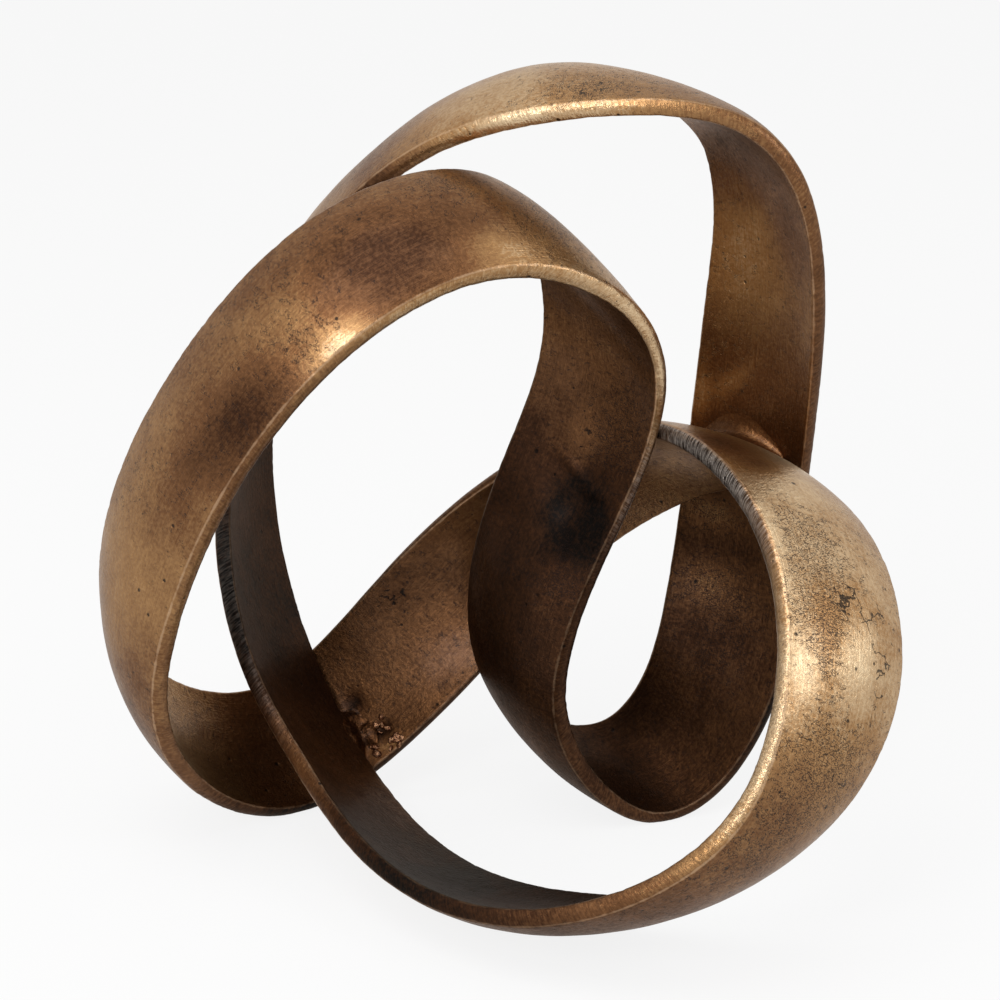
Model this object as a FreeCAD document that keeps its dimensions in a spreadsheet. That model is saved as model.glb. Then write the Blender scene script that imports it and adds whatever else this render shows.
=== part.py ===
import FreeCAD, Part
import math
import os
from collections import namedtuple

# A knot sculpture that stands on a table: one cast metal band that runs through three tall loops and
# comes back into itself. It is cast as ten curved lengths, butt welded end to end, welded to itself
# where its strands touch, and ground flat where it rests. X runs to the right, Y to the back and Z up.
# The origin is on the table, under the middle of the object.

# Driving sizes in millimetres
SIZES = {
    "knot_width": 292,
    "knot_depth": 242,
    "knot_height": 293,
    "band_width": 55,
    "rim_thickness": 6.5,
    "rim_bulge": 1,
    "crown_height": 5.5,
    "hollow_depth": 3.5,
    "crown_fade": 25,
    "strand_gap": 0.8,
    "section_pitch": 22,
    "butt_weld_length": 3,
    "butt_weld_proud": 0.4,
    "contact_weld_length": 30,
    "contact_weld_breadth": 20,
    "contact_weld_bite": 4,
    "bench_height": 20,
}

# What the band does at each station along its way, in shares chosen by hand: the place of its middle over
# the overall width and depth, the height of its lower rim over the overall height, the strands that it
# stands behind, and the direction across it, from its second rim to its first.
Station = namedtuple("Station", "x_share y_share low_share layer across_shares")
STATION_SHARES = (
    Station(0.078, 0.136, 0.409, 0, (0.80, -0.56, -0.12)),
    Station(0.144, 0.135, 0.631, 0, (0.78, -0.62, -0.18)),
    Station(0.035, 0.047, 0.787, 0, (0.42, -0.81, -0.41)),
    Station(-0.162, -0.056, 0.750, 0, (0.42, -0.75, -0.52)),
    Station(-0.325, -0.079, 0.598, 0, (0.54, -0.75, -0.38)),
    Station(-0.426, -0.050, 0.398, 0, (0.54, -0.79, -0.29)),
    Station(-0.435, 0.041, 0.162, 0, (0.36, -0.86, -0.37)),
    Station(-0.287, 0.170, 0.002, 1, (0.39, -0.66, -0.66)),
    Station(-0.100, 0.216, 0.146, 1, (0.66, -0.36, -0.66)),
    Station(0.067, 0.252, 0.302, 1, (0.69, 0.16, -0.72)),
    Station(0.248, 0.147, 0.436, 1, (0.70, 0.42, -0.58)),
    Station(0.379, -0.069, 0.464, 0, (0.80, 0.48, -0.36)),
    Station(0.415, -0.296, 0.323, 0, (0.79, 0.43, -0.44)),
    Station(0.314, -0.405, 0.138, 0, (0.50, 0.72, -0.48)),
    Station(0.116, -0.345, 0.041, 0, (0.56, 0.77, -0.30)),
    Station(-0.067, -0.174, 0.010, 0, (0.54, 0.76, -0.37)),
    Station(-0.202, 0.074, 0.043, 0, (0.52, 0.68, -0.52)),
    Station(-0.298, 0.231, 0.200, 0, (0.41, 0.80, -0.44)),
    Station(-0.327, 0.368, 0.424, 0, (0.20, 0.95, -0.23)),
    Station(-0.266, 0.378, 0.662, 0, (0.20, 0.97, 0.08)),
    Station(-0.129, 0.299, 0.834, 0, (0.34, 0.93, 0.19)),
    Station(0.061, 0.193, 0.952, 0, (0.30, 0.94, 0.13)),
    Station(0.297, 0.136, 0.900, 0, (-0.30, 0.92, -0.23)),
    Station(0.349, 0.107, 0.697, 1, (-0.67, 0.74, -0.07)),
    Station(0.337, 0.135, 0.443, 2, (-0.75, 0.64, 0.08)),
    Station(0.325, 0.189, 0.269, 1, (-0.80, 0.54, 0.24)),
    Station(0.299, 0.212, 0.137, 0, (-0.74, 0.55, 0.38)),
    Station(0.238, 0.213, 0.021, 0, (-0.53, 0.71, 0.46)),
    Station(0.134, 0.179, 0.041, 0, (-0.38, 0.90, 0.18)),
    Station(0.040, 0.129, 0.199, 0, (-0.56, 0.83, -0.03)),
)
STATIONS = len(STATION_SHARES)

# The castings, in the order of the band, with the stations at which they start and end
Casting = namedtuple("Casting", "name start end rests")
CASTINGS = (
    Casting("left_arch", 0, 3, False),
    Casting("left_bow", 3, 6, False),
    Casting("left_foot", 6, 8, True),
    Casting("cross_strap", 8, 11, False),
    Casting("right_bow", 11, 13, False),
    Casting("base_bow", 13, 16, True),
    Casting("rear_riser", 16, 19, False),
    Casting("rear_arch", 19, 22, False),
    Casting("rear_post", 22, 25, False),
    Casting("inner_hook", 25, 30, True),
)

# Where one strand is welded to the strand behind it: the castings, and the place on the crowned face of
# the front one, as its station and its share of the way from the middle to the first rim
Contact = namedtuple("Contact", "name front rear station across_share")
CONTACTS = (
    Contact("foot_weld", "rear_riser", "left_foot", 16.3, 0.9),
    Contact("arch_weld", "left_arch", "cross_strap", 0.5, 0.1),
    Contact("post_weld", "cross_strap", "rear_post", 10.2, 0.4),
)

SLOPE_ROUNDS = 60

Frame = namedtuple("Frame", "centre travel across outward")


def make_sheet(doc):
    """Keep the driving sizes in the document's sheet."""
    sheet = doc.addObject("Spreadsheet::Sheet", "sizes")
    for row, (name, value) in enumerate(SIZES.items(), start=1):
        sheet.set(f"A{row}", name)
        sheet.set(f"B{row}", str(value))
        sheet.setAlias(f"B{row}", name)
    doc.recompute()
    return sheet


def unit(shares):
    """The direction of a set of shares, with length 1."""
    return FreeCAD.Vector(*shares).normalize()


def smooth_slopes(points):
    """Slopes per station of the closed curve through the points that has no step in its curvature."""
    count = len(points)
    chords = [points[(i + 1) % count] - points[i - 1] for i in range(count)]
    slopes = [chord / 2 for chord in chords]
    for _ in range(SLOPE_ROUNDS):
        slopes = [(chords[i] * 3 - slopes[i - 1] - slopes[(i + 1) % count]) / 4 for i in range(count)]
    return slopes


class Band:
    """The band's way through space and its section anywhere along it.

    Its two rims are one closed curve that passes every station twice, so a place on the second rim is a
    whole round further along than the place opposite it on the first.
    """

    def __init__(self, sheet):
        self.sheet = sheet
        self.width = sheet.band_width
        self.layer_pitch = sheet.rim_thickness + sheet.crown_height + sheet.strand_gap
        first_rim = [self.rim_point(station, 1) for station in STATION_SHARES]
        second_rim = [self.rim_point(station, -1) for station in STATION_SHARES]
        self.rim = first_rim + second_rim
        self.slopes = smooth_slopes(self.rim)

    def rim_point(self, station, side):
        """The tip of the first rim (side 1) or the second (side -1) at a station."""
        across = unit(station.across_shares)
        low_rim = station.low_share * self.sheet.knot_height
        centre = FreeCAD.Vector(
            station.x_share * self.sheet.knot_width,
            station.y_share * self.sheet.knot_depth + station.layer * self.layer_pitch,
            low_rim + abs(across.z) * self.width / 2,
        )
        return centre + across * (side * self.width / 2)

    def rim_place(self, position):
        """Point and slope of the rim curve, by smooth interpolation between its stations."""
        position %= len(self.rim)
        i = int(position)
        j = (i + 1) % len(self.rim)
        f = position - i
        point = (
            self.rim[i] * (1 + 2 * f) * (1 - f) ** 2
            + self.rim[j] * f * f * (3 - 2 * f)
            + self.slopes[i] * f * (1 - f) ** 2
            - self.slopes[j] * f * f * (1 - f)
        )
        slope = (
            (self.rim[j] - self.rim[i]) * 6 * f * (1 - f)
            + self.slopes[i] * (1 - f) * (1 - 3 * f)
            + self.slopes[j] * f * (3 * f - 2)
        )
        return point, slope

    def speed(self, position):
        """Millimetres of band per station."""
        _, first = self.rim_place(position)
        _, second = self.rim_place(position + STATIONS)
        return ((first + second) / 2).Length

    def frame(self, position):
        """Centre of the band at a position, with its travel, across and outward directions."""
        first, first_slope = self.rim_place(position)
        second, second_slope = self.rim_place(position + STATIONS)
        travel = (first_slope + second_slope).normalize()
        across = first - second
        across = (across - travel * across.dot(travel)).normalize()
        return Frame((first + second) / 2, travel, across, travel.cross(across))

    def crown_share(self, position):
        """How much of the crown is there: none at the seam, where the crowned side meets the hollow one."""
        nearest = min(position % STATIONS, -position % STATIONS)
        distance = nearest * self.speed(0) - self.sheet.butt_weld_length / 2
        share = min(max(distance / self.sheet.crown_fade, 0), 1)
        return share * share * (3 - 2 * share)

    def section(self, position, proud=0):
        """Closed outline of the band square to its travel: crowned outer face, hollow inner face."""
        frame = self.frame(position)
        share = self.crown_share(position)
        bulge = self.sheet.rim_bulge
        half_width = self.width / 2 - bulge + proud
        half_rim = self.sheet.rim_thickness / 2 + proud
        crown = self.sheet.crown_height * share
        hollow = self.sheet.hollow_depth * share

        def place(across, outward):
            return frame.centre + frame.across * across + frame.outward * outward

        outer_first = place(half_width, half_rim)
        outer_second = place(-half_width, half_rim)
        inner_second = place(-half_width, -half_rim)
        inner_first = place(half_width, -half_rim)
        sides = (
            (outer_first, place(0, half_rim + 2 * crown), outer_second),
            (outer_second, place(-half_width - 2 * bulge, 0), inner_second),
            (inner_second, place(0, 2 * hollow - half_rim), inner_first),
            (inner_first, place(half_width + 2 * bulge, 0), outer_first),
        )
        edges = []
        for poles in sides:
            curve = Part.BezierCurve()
            curve.setPoles(list(poles))
            edges.append(curve.toShape())
        return Part.Wire(edges)

    def crown_point(self, position, across_share):
        """A point on the crowned face, and the direction in which that face looks."""
        frame = self.frame(position)
        across = across_share * (self.width / 2 - self.sheet.rim_bulge)
        crown = self.sheet.crown_height * self.crown_share(position) * (1 - across_share**2)
        return frame.centre + frame.across * across + frame.outward * (self.sheet.rim_thickness / 2 + crown), frame

    def weld_reach(self, position):
        """Half the length of a butt weld, in stations."""
        return self.sheet.butt_weld_length / 2 / self.speed(position)

    def length_between(self, start, end):
        """Millimetres of band between two positions, by adding up short steps."""
        steps = math.ceil((end - start) * 10)
        places = [self.frame(start + (end - start) * i / steps).centre for i in range(steps + 1)]
        return sum((b - a).Length for a, b in zip(places, places[1:]))


def casting_shape(band, casting):
    """One casting, lofted through sections square to the band, short of its welds at both ends."""
    start = casting.start + band.weld_reach(casting.start)
    end = casting.end - band.weld_reach(casting.end)
    spans = math.ceil(band.length_between(start, end) / band.sheet.section_pitch)
    positions = [start + (end - start) * i / spans for i in range(spans + 1)]
    return Part.makeLoft([band.section(position) for position in positions], True)


def butt_weld_shape(band, position):
    """The filler between two castings, a ring of bead that stands slightly proud of both."""
    reach = band.weld_reach(position)
    sections = [
        band.section(position - reach),
        band.section(position, band.sheet.butt_weld_proud),
        band.section(position + reach),
    ]
    return Part.makeLoft(sections, True)


def add_feature(doc, name, shape):
    """A part of the document with a shape of its own."""
    feature = doc.addObject("Part::Feature", name)
    feature.Label = name
    feature.Shape = shape
    feature.Placement = FreeCAD.Placement()
    return feature


def add_cut(doc, name, base, tool):
    """A part of the document that is one part less another."""
    cut = doc.addObject("Part::Cut", name)
    cut.Label = name
    cut.Base = base
    cut.Tool = tool
    return cut


def add_bench(doc):
    """The flat grinding bench under the table's plane, which cuts the resting places."""
    bench = doc.addObject("Part::Box", "bench")
    bench.setExpression("Length", "sizes.knot_width * 2")
    bench.setExpression("Width", "sizes.knot_depth * 2")
    bench.setExpression("Height", "sizes.bench_height")
    bench.setExpression("Placement.Base.x", "-sizes.knot_width")
    bench.setExpression("Placement.Base.y", "-sizes.knot_depth")
    bench.setExpression("Placement.Base.z", "-sizes.bench_height")
    return bench


def add_castings(doc, band):
    """All castings, those that rest on the table ground flat there."""
    bench = add_bench(doc)
    castings = {}
    for casting in CASTINGS:
        shape = casting_shape(band, casting)
        if casting.rests:
            raw = add_feature(doc, casting.name + "_as_cast", shape)
            castings[casting.name] = add_cut(doc, casting.name, raw, bench)
        else:
            castings[casting.name] = add_feature(doc, casting.name, shape)
    return castings


def add_butt_welds(doc, band):
    """One ring of filler at the end of each casting."""
    welds = {}
    for casting in CASTINGS:
        name = "butt_weld_" + casting.name
        welds[name] = add_feature(doc, name, butt_weld_shape(band, casting.end))
    return welds


def contact_gap(band, contact, rear):
    """The gap from the front strand to the rear one at a contact, and its place.

    The place is in the middle of the gap, with its Z axis across it and its X axis along the front strand.
    """
    front_point, frame = band.crown_point(contact.station, contact.across_share)
    gap, nearest, _ = Part.Vertex(front_point).distToShape(rear.Shape)
    rear_point = nearest[0][1]
    way = rear_point - front_point if gap > band.sheet.rim_bulge else frame.outward
    turn = FreeCAD.Rotation(frame.travel, FreeCAD.Vector(), way, "ZXY")
    return gap, FreeCAD.Placement((front_point + rear_point) / 2, turn)


def add_contact_welds(doc, band, castings):
    """A puddle of filler that bites into both strands at each contact, less the strands themselves."""
    doc.recompute()
    welds = {}
    for contact in CONTACTS:
        front = castings[contact.front]
        rear = castings[contact.rear]
        gap, placement = contact_gap(band, contact, rear)
        puddle = doc.addObject("Part::Ellipsoid", contact.name + "_puddle")
        puddle.Radius1 = band.sheet.contact_weld_bite + gap / 2
        puddle.setExpression("Radius2", "sizes.contact_weld_length / 2")
        puddle.setExpression("Radius3", "sizes.contact_weld_breadth / 2")
        puddle.Placement = placement
        clear_of_front = add_cut(doc, contact.name + "_clear_of_front", puddle, front)
        welds[contact.name] = add_cut(doc, contact.name, clear_of_front, rear)
    return welds


def check(doc, parts):
    """Stop if an object failed to build or a part isn't one sound solid."""
    for feature in doc.Objects:
        if "Invalid" in feature.State or "Error" in feature.State:
            raise RuntimeError(f"{feature.Label} failed: {feature.State}")
    for name, part in parts.items():
        if part.Shape.isNull() or not part.Shape.isValid() or not part.Shape.Solids:
            raise RuntimeError(f"{name} has no sound shape")


def main():
    doc = FreeCAD.newDocument("knot_sculpture")
    sheet = make_sheet(doc)
    band = Band(sheet)
    castings = add_castings(doc, band)
    parts = dict(castings)
    parts.update(add_butt_welds(doc, band))
    parts.update(add_contact_welds(doc, band, castings))
    doc.recompute()
    check(doc, parts)
    os.makedirs("parts", exist_ok=True)
    for name, part in parts.items():
        part.Shape.exportStep(f"parts/{name}.step")
        print(f"{name}: {len(part.Shape.Solids)} solid, {part.Shape.Volume / 1000:.2f} cm3")


main()
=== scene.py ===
"""The looks of a cast metal knot that stands on a table.

One band runs through three tall loops and comes back into itself. Each casting of it is swept here
with the skin that the real metal has: a golden crowned face, a dark hollow face, rims with file marks,
dents, stains and weld spatter. Over it lie bright corners, partly rubbed metal and partly painted
highlight, and painted highlights, sheen and dark reflections on the faces. All lengths are in metres.
"""

import logging
import math
from dataclasses import dataclass
from enum import Enum
from typing import Optional, Sequence, Union

import bmesh
import bpy
import numpy as np
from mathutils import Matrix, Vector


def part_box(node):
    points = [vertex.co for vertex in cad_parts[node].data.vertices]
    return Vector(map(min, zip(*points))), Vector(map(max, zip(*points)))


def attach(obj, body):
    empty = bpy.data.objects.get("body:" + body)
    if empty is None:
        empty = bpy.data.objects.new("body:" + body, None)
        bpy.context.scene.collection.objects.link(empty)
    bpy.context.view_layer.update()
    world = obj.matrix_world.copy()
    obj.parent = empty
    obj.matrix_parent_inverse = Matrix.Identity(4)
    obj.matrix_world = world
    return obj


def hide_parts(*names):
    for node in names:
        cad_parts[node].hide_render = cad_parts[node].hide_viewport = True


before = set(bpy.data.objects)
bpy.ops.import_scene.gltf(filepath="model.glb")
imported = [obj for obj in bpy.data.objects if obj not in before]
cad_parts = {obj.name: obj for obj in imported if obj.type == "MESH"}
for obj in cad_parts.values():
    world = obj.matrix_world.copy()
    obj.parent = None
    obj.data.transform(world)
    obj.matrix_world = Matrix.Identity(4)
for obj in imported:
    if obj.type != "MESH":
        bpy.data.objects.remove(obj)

log = logging.getLogger("knot")

Socket = bpy.types.NodeSocket
Value = Union[float, Sequence[float], str, Socket]
Inputs = dict[Union[int, str], Value]
Colour = tuple[float, float, float]

WHITE = (1.0, 1.0, 1.0, 1.0)


class Slot(Enum):
    """The material slots of the record."""

    CASTING = "casting"
    FILLER = "filler"


class Side(Enum):
    """The four sides of the band's section, in the order in which its outline passes them."""

    FIRST_RIM = 0
    OUTER = 1
    SECOND_RIM = 2
    INNER = 3


@dataclass(frozen=True)
class Station:
    """One place on the band's way, in shares of the overall size.

    Args:
        x_share: place of the band's middle over the overall width.
        y_share: place of the band's middle over the overall depth.
        low_share: height of the lower rim over the overall height.
        layer: how many strands it stands behind.
        across_shares: direction from the second rim to the first.
    """

    x_share: float
    y_share: float
    low_share: float
    layer: int
    across_shares: tuple[float, float, float]


STATION_SHARES = (
    Station(0.078, 0.136, 0.409, 0, (0.80, -0.56, -0.12)),
    Station(0.144, 0.135, 0.631, 0, (0.78, -0.62, -0.18)),
    Station(0.035, 0.047, 0.787, 0, (0.42, -0.81, -0.41)),
    Station(-0.162, -0.056, 0.750, 0, (0.42, -0.75, -0.52)),
    Station(-0.325, -0.079, 0.598, 0, (0.54, -0.75, -0.38)),
    Station(-0.426, -0.050, 0.398, 0, (0.54, -0.79, -0.29)),
    Station(-0.435, 0.041, 0.162, 0, (0.36, -0.86, -0.37)),
    Station(-0.287, 0.170, 0.002, 1, (0.39, -0.66, -0.66)),
    Station(-0.100, 0.216, 0.146, 1, (0.66, -0.36, -0.66)),
    Station(0.067, 0.252, 0.302, 1, (0.69, 0.16, -0.72)),
    Station(0.248, 0.147, 0.436, 1, (0.70, 0.42, -0.58)),
    Station(0.379, -0.069, 0.464, 0, (0.80, 0.48, -0.36)),
    Station(0.415, -0.296, 0.323, 0, (0.79, 0.43, -0.44)),
    Station(0.314, -0.405, 0.138, 0, (0.50, 0.72, -0.48)),
    Station(0.116, -0.345, 0.041, 0, (0.56, 0.77, -0.30)),
    Station(-0.067, -0.174, 0.010, 0, (0.54, 0.76, -0.37)),
    Station(-0.202, 0.074, 0.043, 0, (0.52, 0.68, -0.52)),
    Station(-0.298, 0.231, 0.200, 0, (0.41, 0.80, -0.44)),
    Station(-0.327, 0.368, 0.424, 0, (0.20, 0.95, -0.23)),
    Station(-0.266, 0.378, 0.662, 0, (0.20, 0.97, 0.08)),
    Station(-0.129, 0.299, 0.834, 0, (0.34, 0.93, 0.19)),
    Station(0.061, 0.193, 0.952, 0, (0.30, 0.94, 0.13)),
    Station(0.297, 0.136, 0.900, 0, (-0.30, 0.92, -0.23)),
    Station(0.349, 0.107, 0.697, 1, (-0.67, 0.74, -0.07)),
    Station(0.337, 0.135, 0.443, 2, (-0.75, 0.64, 0.08)),
    Station(0.325, 0.189, 0.269, 1, (-0.80, 0.54, 0.24)),
    Station(0.299, 0.212, 0.137, 0, (-0.74, 0.55, 0.38)),
    Station(0.238, 0.213, 0.021, 0, (-0.53, 0.71, 0.46)),
    Station(0.134, 0.179, 0.041, 0, (-0.38, 0.90, 0.18)),
    Station(0.040, 0.129, 0.199, 0, (-0.56, 0.83, -0.03)),
)
STATIONS = len(STATION_SHARES)


@dataclass(frozen=True)
class Tone:
    """How golden the four sides are at a station, from 0, black, to 1, pale gold."""

    outer: float
    inner: float
    first_rim: float
    second_rim: float


# Tones as the metal looks under its light: most is patina, but the outer face and first rim at station 1
# carry a painted highlight, and the first rim at 7 and the second rim at 15 and 17 are kept dark as painted
# shade.
TONE_SHARES = (
    Tone(0.14, 0.12, 0.16, 0.20),
    Tone(0.86, 0.42, 0.92, 0.30),
    Tone(0.64, 0.36, 0.72, 0.34),
    Tone(0.50, 0.22, 0.70, 0.34),
    Tone(0.55, 0.20, 0.48, 0.32),
    Tone(0.62, 0.20, 0.58, 0.32),
    Tone(0.46, 0.82, 0.44, 0.30),
    Tone(0.44, 0.32, 0.00, 0.30),
    Tone(0.44, 0.34, 0.20, 0.34),
    Tone(0.44, 0.42, 0.32, 0.34),
    Tone(0.74, 0.58, 0.34, 0.34),
    Tone(0.74, 0.26, 0.36, 0.46),
    Tone(0.78, 0.24, 0.36, 0.76),
    Tone(0.56, 0.24, 0.34, 0.75),
    Tone(0.24, 0.14, 0.30, 0.26),
    Tone(0.46, 0.00, 0.30, 0.02),
    Tone(0.46, 0.32, 0.30, 0.46),
    Tone(0.46, 0.10, 0.30, 0.00),
    Tone(0.48, 0.12, 0.30, 0.16),
    Tone(0.94, 0.24, 0.32, 0.32),
    Tone(0.50, 0.26, 0.34, 0.25),
    Tone(0.80, 0.80, 0.36, 0.94),
    Tone(0.56, 0.34, 0.34, 0.50),
    Tone(0.50, 0.63, 0.32, 0.36),
    Tone(0.48, 0.36, 0.32, 0.34),
    Tone(0.46, 0.32, 0.30, 0.30),
    Tone(0.42, 0.28, 0.28, 0.00),
    Tone(0.32, 0.24, 0.26, 0.22),
    Tone(0.14, 0.14, 0.24, 0.26),
    Tone(0.22, 0.14, 0.22, 0.24),
)


@dataclass(frozen=True)
class Casting:
    """One cast length of the band, from one station to another."""

    name: str
    start: float
    end: float


CASTINGS = (
    Casting("left_arch", 0, 3),
    Casting("left_bow", 3, 6),
    Casting("left_foot", 6, 8),
    Casting("cross_strap", 8, 11),
    Casting("right_bow", 11, 13),
    Casting("base_bow", 13, 16),
    Casting("rear_riser", 16, 19),
    Casting("rear_arch", 19, 22),
    Casting("rear_post", 22, 25),
    Casting("inner_hook", 25, 30),
)


@dataclass(frozen=True)
class Mark:
    """A place on one side of the band.

    Args:
        station: where it is along the band.
        across_share: where it is across, from -1 at the second rim to 1 at the first.
        side: the side that it is on.
        length: half its reach along the band.
        breadth: half its reach across the band.
    """

    station: float
    across_share: float
    side: Side
    length: float
    breadth: float


@dataclass(frozen=True)
class Lump(Mark):
    """Extra filler.

    Args:
        height: how far it stands out.
    """

    height: float


@dataclass(frozen=True)
class ContactWeld:
    """Filler where two strands touch.

    Args:
        name: the node's name.
        front: station of the front strand there.
        rear: station of the rear strand there.
        soft: how many times the filler is smoothed into its corners.
        lumps: extra filler beside the node's own.
    """

    name: str
    front: float
    rear: float
    soft: int
    lumps: tuple[Lump, ...] = ()


CONTACT_WELDS = (
    ContactWeld(
        "foot_weld",
        16.30,
        7.32,
        20,
        (
            Lump(7.50, 0.55, Side.INNER, 0.004, 0.005, 0.0030),
            Lump(7.56, 0.85, Side.INNER, 0.005, 0.003, 0.0024),
            Lump(7.47, 0.20, Side.INNER, 0.003, 0.004, 0.0026),
        ),
    ),
    ContactWeld("arch_weld", 0.50, 9.83, 30),
)


@dataclass(frozen=True)
class Wedge:
    """A smooth wedge of filler between one strand's hollow face and another's crown.

    Args:
        name: the node's name.
        top_stations: where it starts on the hollow face, at its first and last end.
        top_shares: where that is across the face.
        foot_stations: where it runs out on the crown, at its first and last end.
        foot_shares: where that is across the crown.
    """

    name: str
    top_stations: tuple[float, float]
    top_shares: tuple[float, float]
    foot_stations: tuple[float, float]
    foot_shares: tuple[float, float]


POST_WEDGE = Wedge("post_weld", (23.60, 23.56), (1.00, -0.62), (10.12, 10.46), (-0.35, 0.48))


def linear(colour: Colour) -> tuple[float, float, float, float]:
    """A colour as seen on a screen, turned into the linear values that sockets take."""
    parts = [c / 12.92 if c <= 0.04045 else ((c + 0.055) / 1.055) ** 2.4 for c in colour]
    return (*parts, 1.0)


def smooth(share: np.ndarray) -> np.ndarray:
    """A share from 0 to 1 with a soft start and end."""
    clipped = np.clip(share, 0, 1)
    return clipped * clipped * (3 - 2 * clipped)


def unit(vectors: np.ndarray) -> np.ndarray:
    """Vectors of the same directions and a length of 1."""
    return vectors / np.linalg.norm(vectors, axis=-1, keepdims=True)


def curve(poles: Sequence[np.ndarray], t: np.ndarray) -> np.ndarray:
    """Points of the quadratic curve of three poles, at shares t of its way."""
    t = t[:, None]
    return poles[0] * (1 - t) ** 2 + poles[1] * 2 * t * (1 - t) + poles[2] * t * t


def ring_faces(rings: int, count: int, closed: bool = True) -> list[tuple[int, ...]]:
    """Faces between rings of points.

    Args:
        rings: how many rings.
        count: points in each.
        closed: whether each ring comes back to its start.

    Returns:
        The faces ring by ring, as numbers of points.
    """
    ring, point = np.meshgrid(np.arange(rings - 1), np.arange(count if closed else count - 1), indexing="ij")
    near, after = ring * count, (point + 1) % count
    corners = np.stack((near + point, near + after, near + count + after, near + count + point), axis=2)
    return [tuple(face) for face in corners.reshape(-1, 4).tolist()]


def keep(mesh: bpy.types.Mesh, values: dict[str, np.ndarray]) -> None:
    """Store a number or a vector for each point of a mesh, by the attribute's name.

    Args:
        mesh: the mesh.
        values: by attribute, a row of numbers or of vectors with a last axis of 3.
    """
    for name, value in values.items():
        row = np.asarray(value, np.float32).ravel()
        kind, field = ("FLOAT_VECTOR", "vector") if len(row) > len(mesh.vertices) else ("FLOAT", "value")
        mesh.attributes.new(name, kind, "POINT").data.foreach_set(field, row)


def dress(mesh: bpy.types.Mesh, material: bpy.types.Material) -> None:
    """Give a mesh one material."""
    mesh.materials.clear()
    mesh.materials.append(material)


def linked(name: str, data: bpy.types.ID) -> bpy.types.Object:
    """A new object in the scene.

    Args:
        name: its name.
        data: its mesh, light or camera.

    Returns:
        The object.
    """
    piece = bpy.data.objects.new(name, data)
    bpy.context.scene.collection.objects.link(piece)
    return piece


def unit_ball(shape: bmesh.types.BMesh, subdivisions: int) -> list[bmesh.types.BMVert]:
    """Add a ball of radius 1 to a shape, and give back its points."""
    return bmesh.ops.create_icosphere(shape, subdivisions=subdivisions, radius=1.0)["verts"]


def linked_shape(name: str, shape: bmesh.types.BMesh) -> bpy.types.Object:
    """A new object in the scene from a shape, which is then let go.

    Args:
        name: its name.
        shape: the working shape.

    Returns:
        The object.
    """
    mesh = bpy.data.meshes.new(name)
    shape.to_mesh(mesh)
    shape.free()
    return linked(name, mesh)


def settled(piece: bpy.types.Object) -> bpy.types.Object:
    """Keep what an object's modifiers make of it as its plain mesh, and take them off.

    Args:
        piece: the object.

    Returns:
        The same object.
    """
    graph = bpy.context.evaluated_depsgraph_get()
    graph.update()
    mesh = bpy.data.meshes.new_from_object(piece.evaluated_get(graph), depsgraph=graph)
    piece.modifiers.clear()
    mesh.name = piece.name
    piece.data = mesh
    return piece


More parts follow.
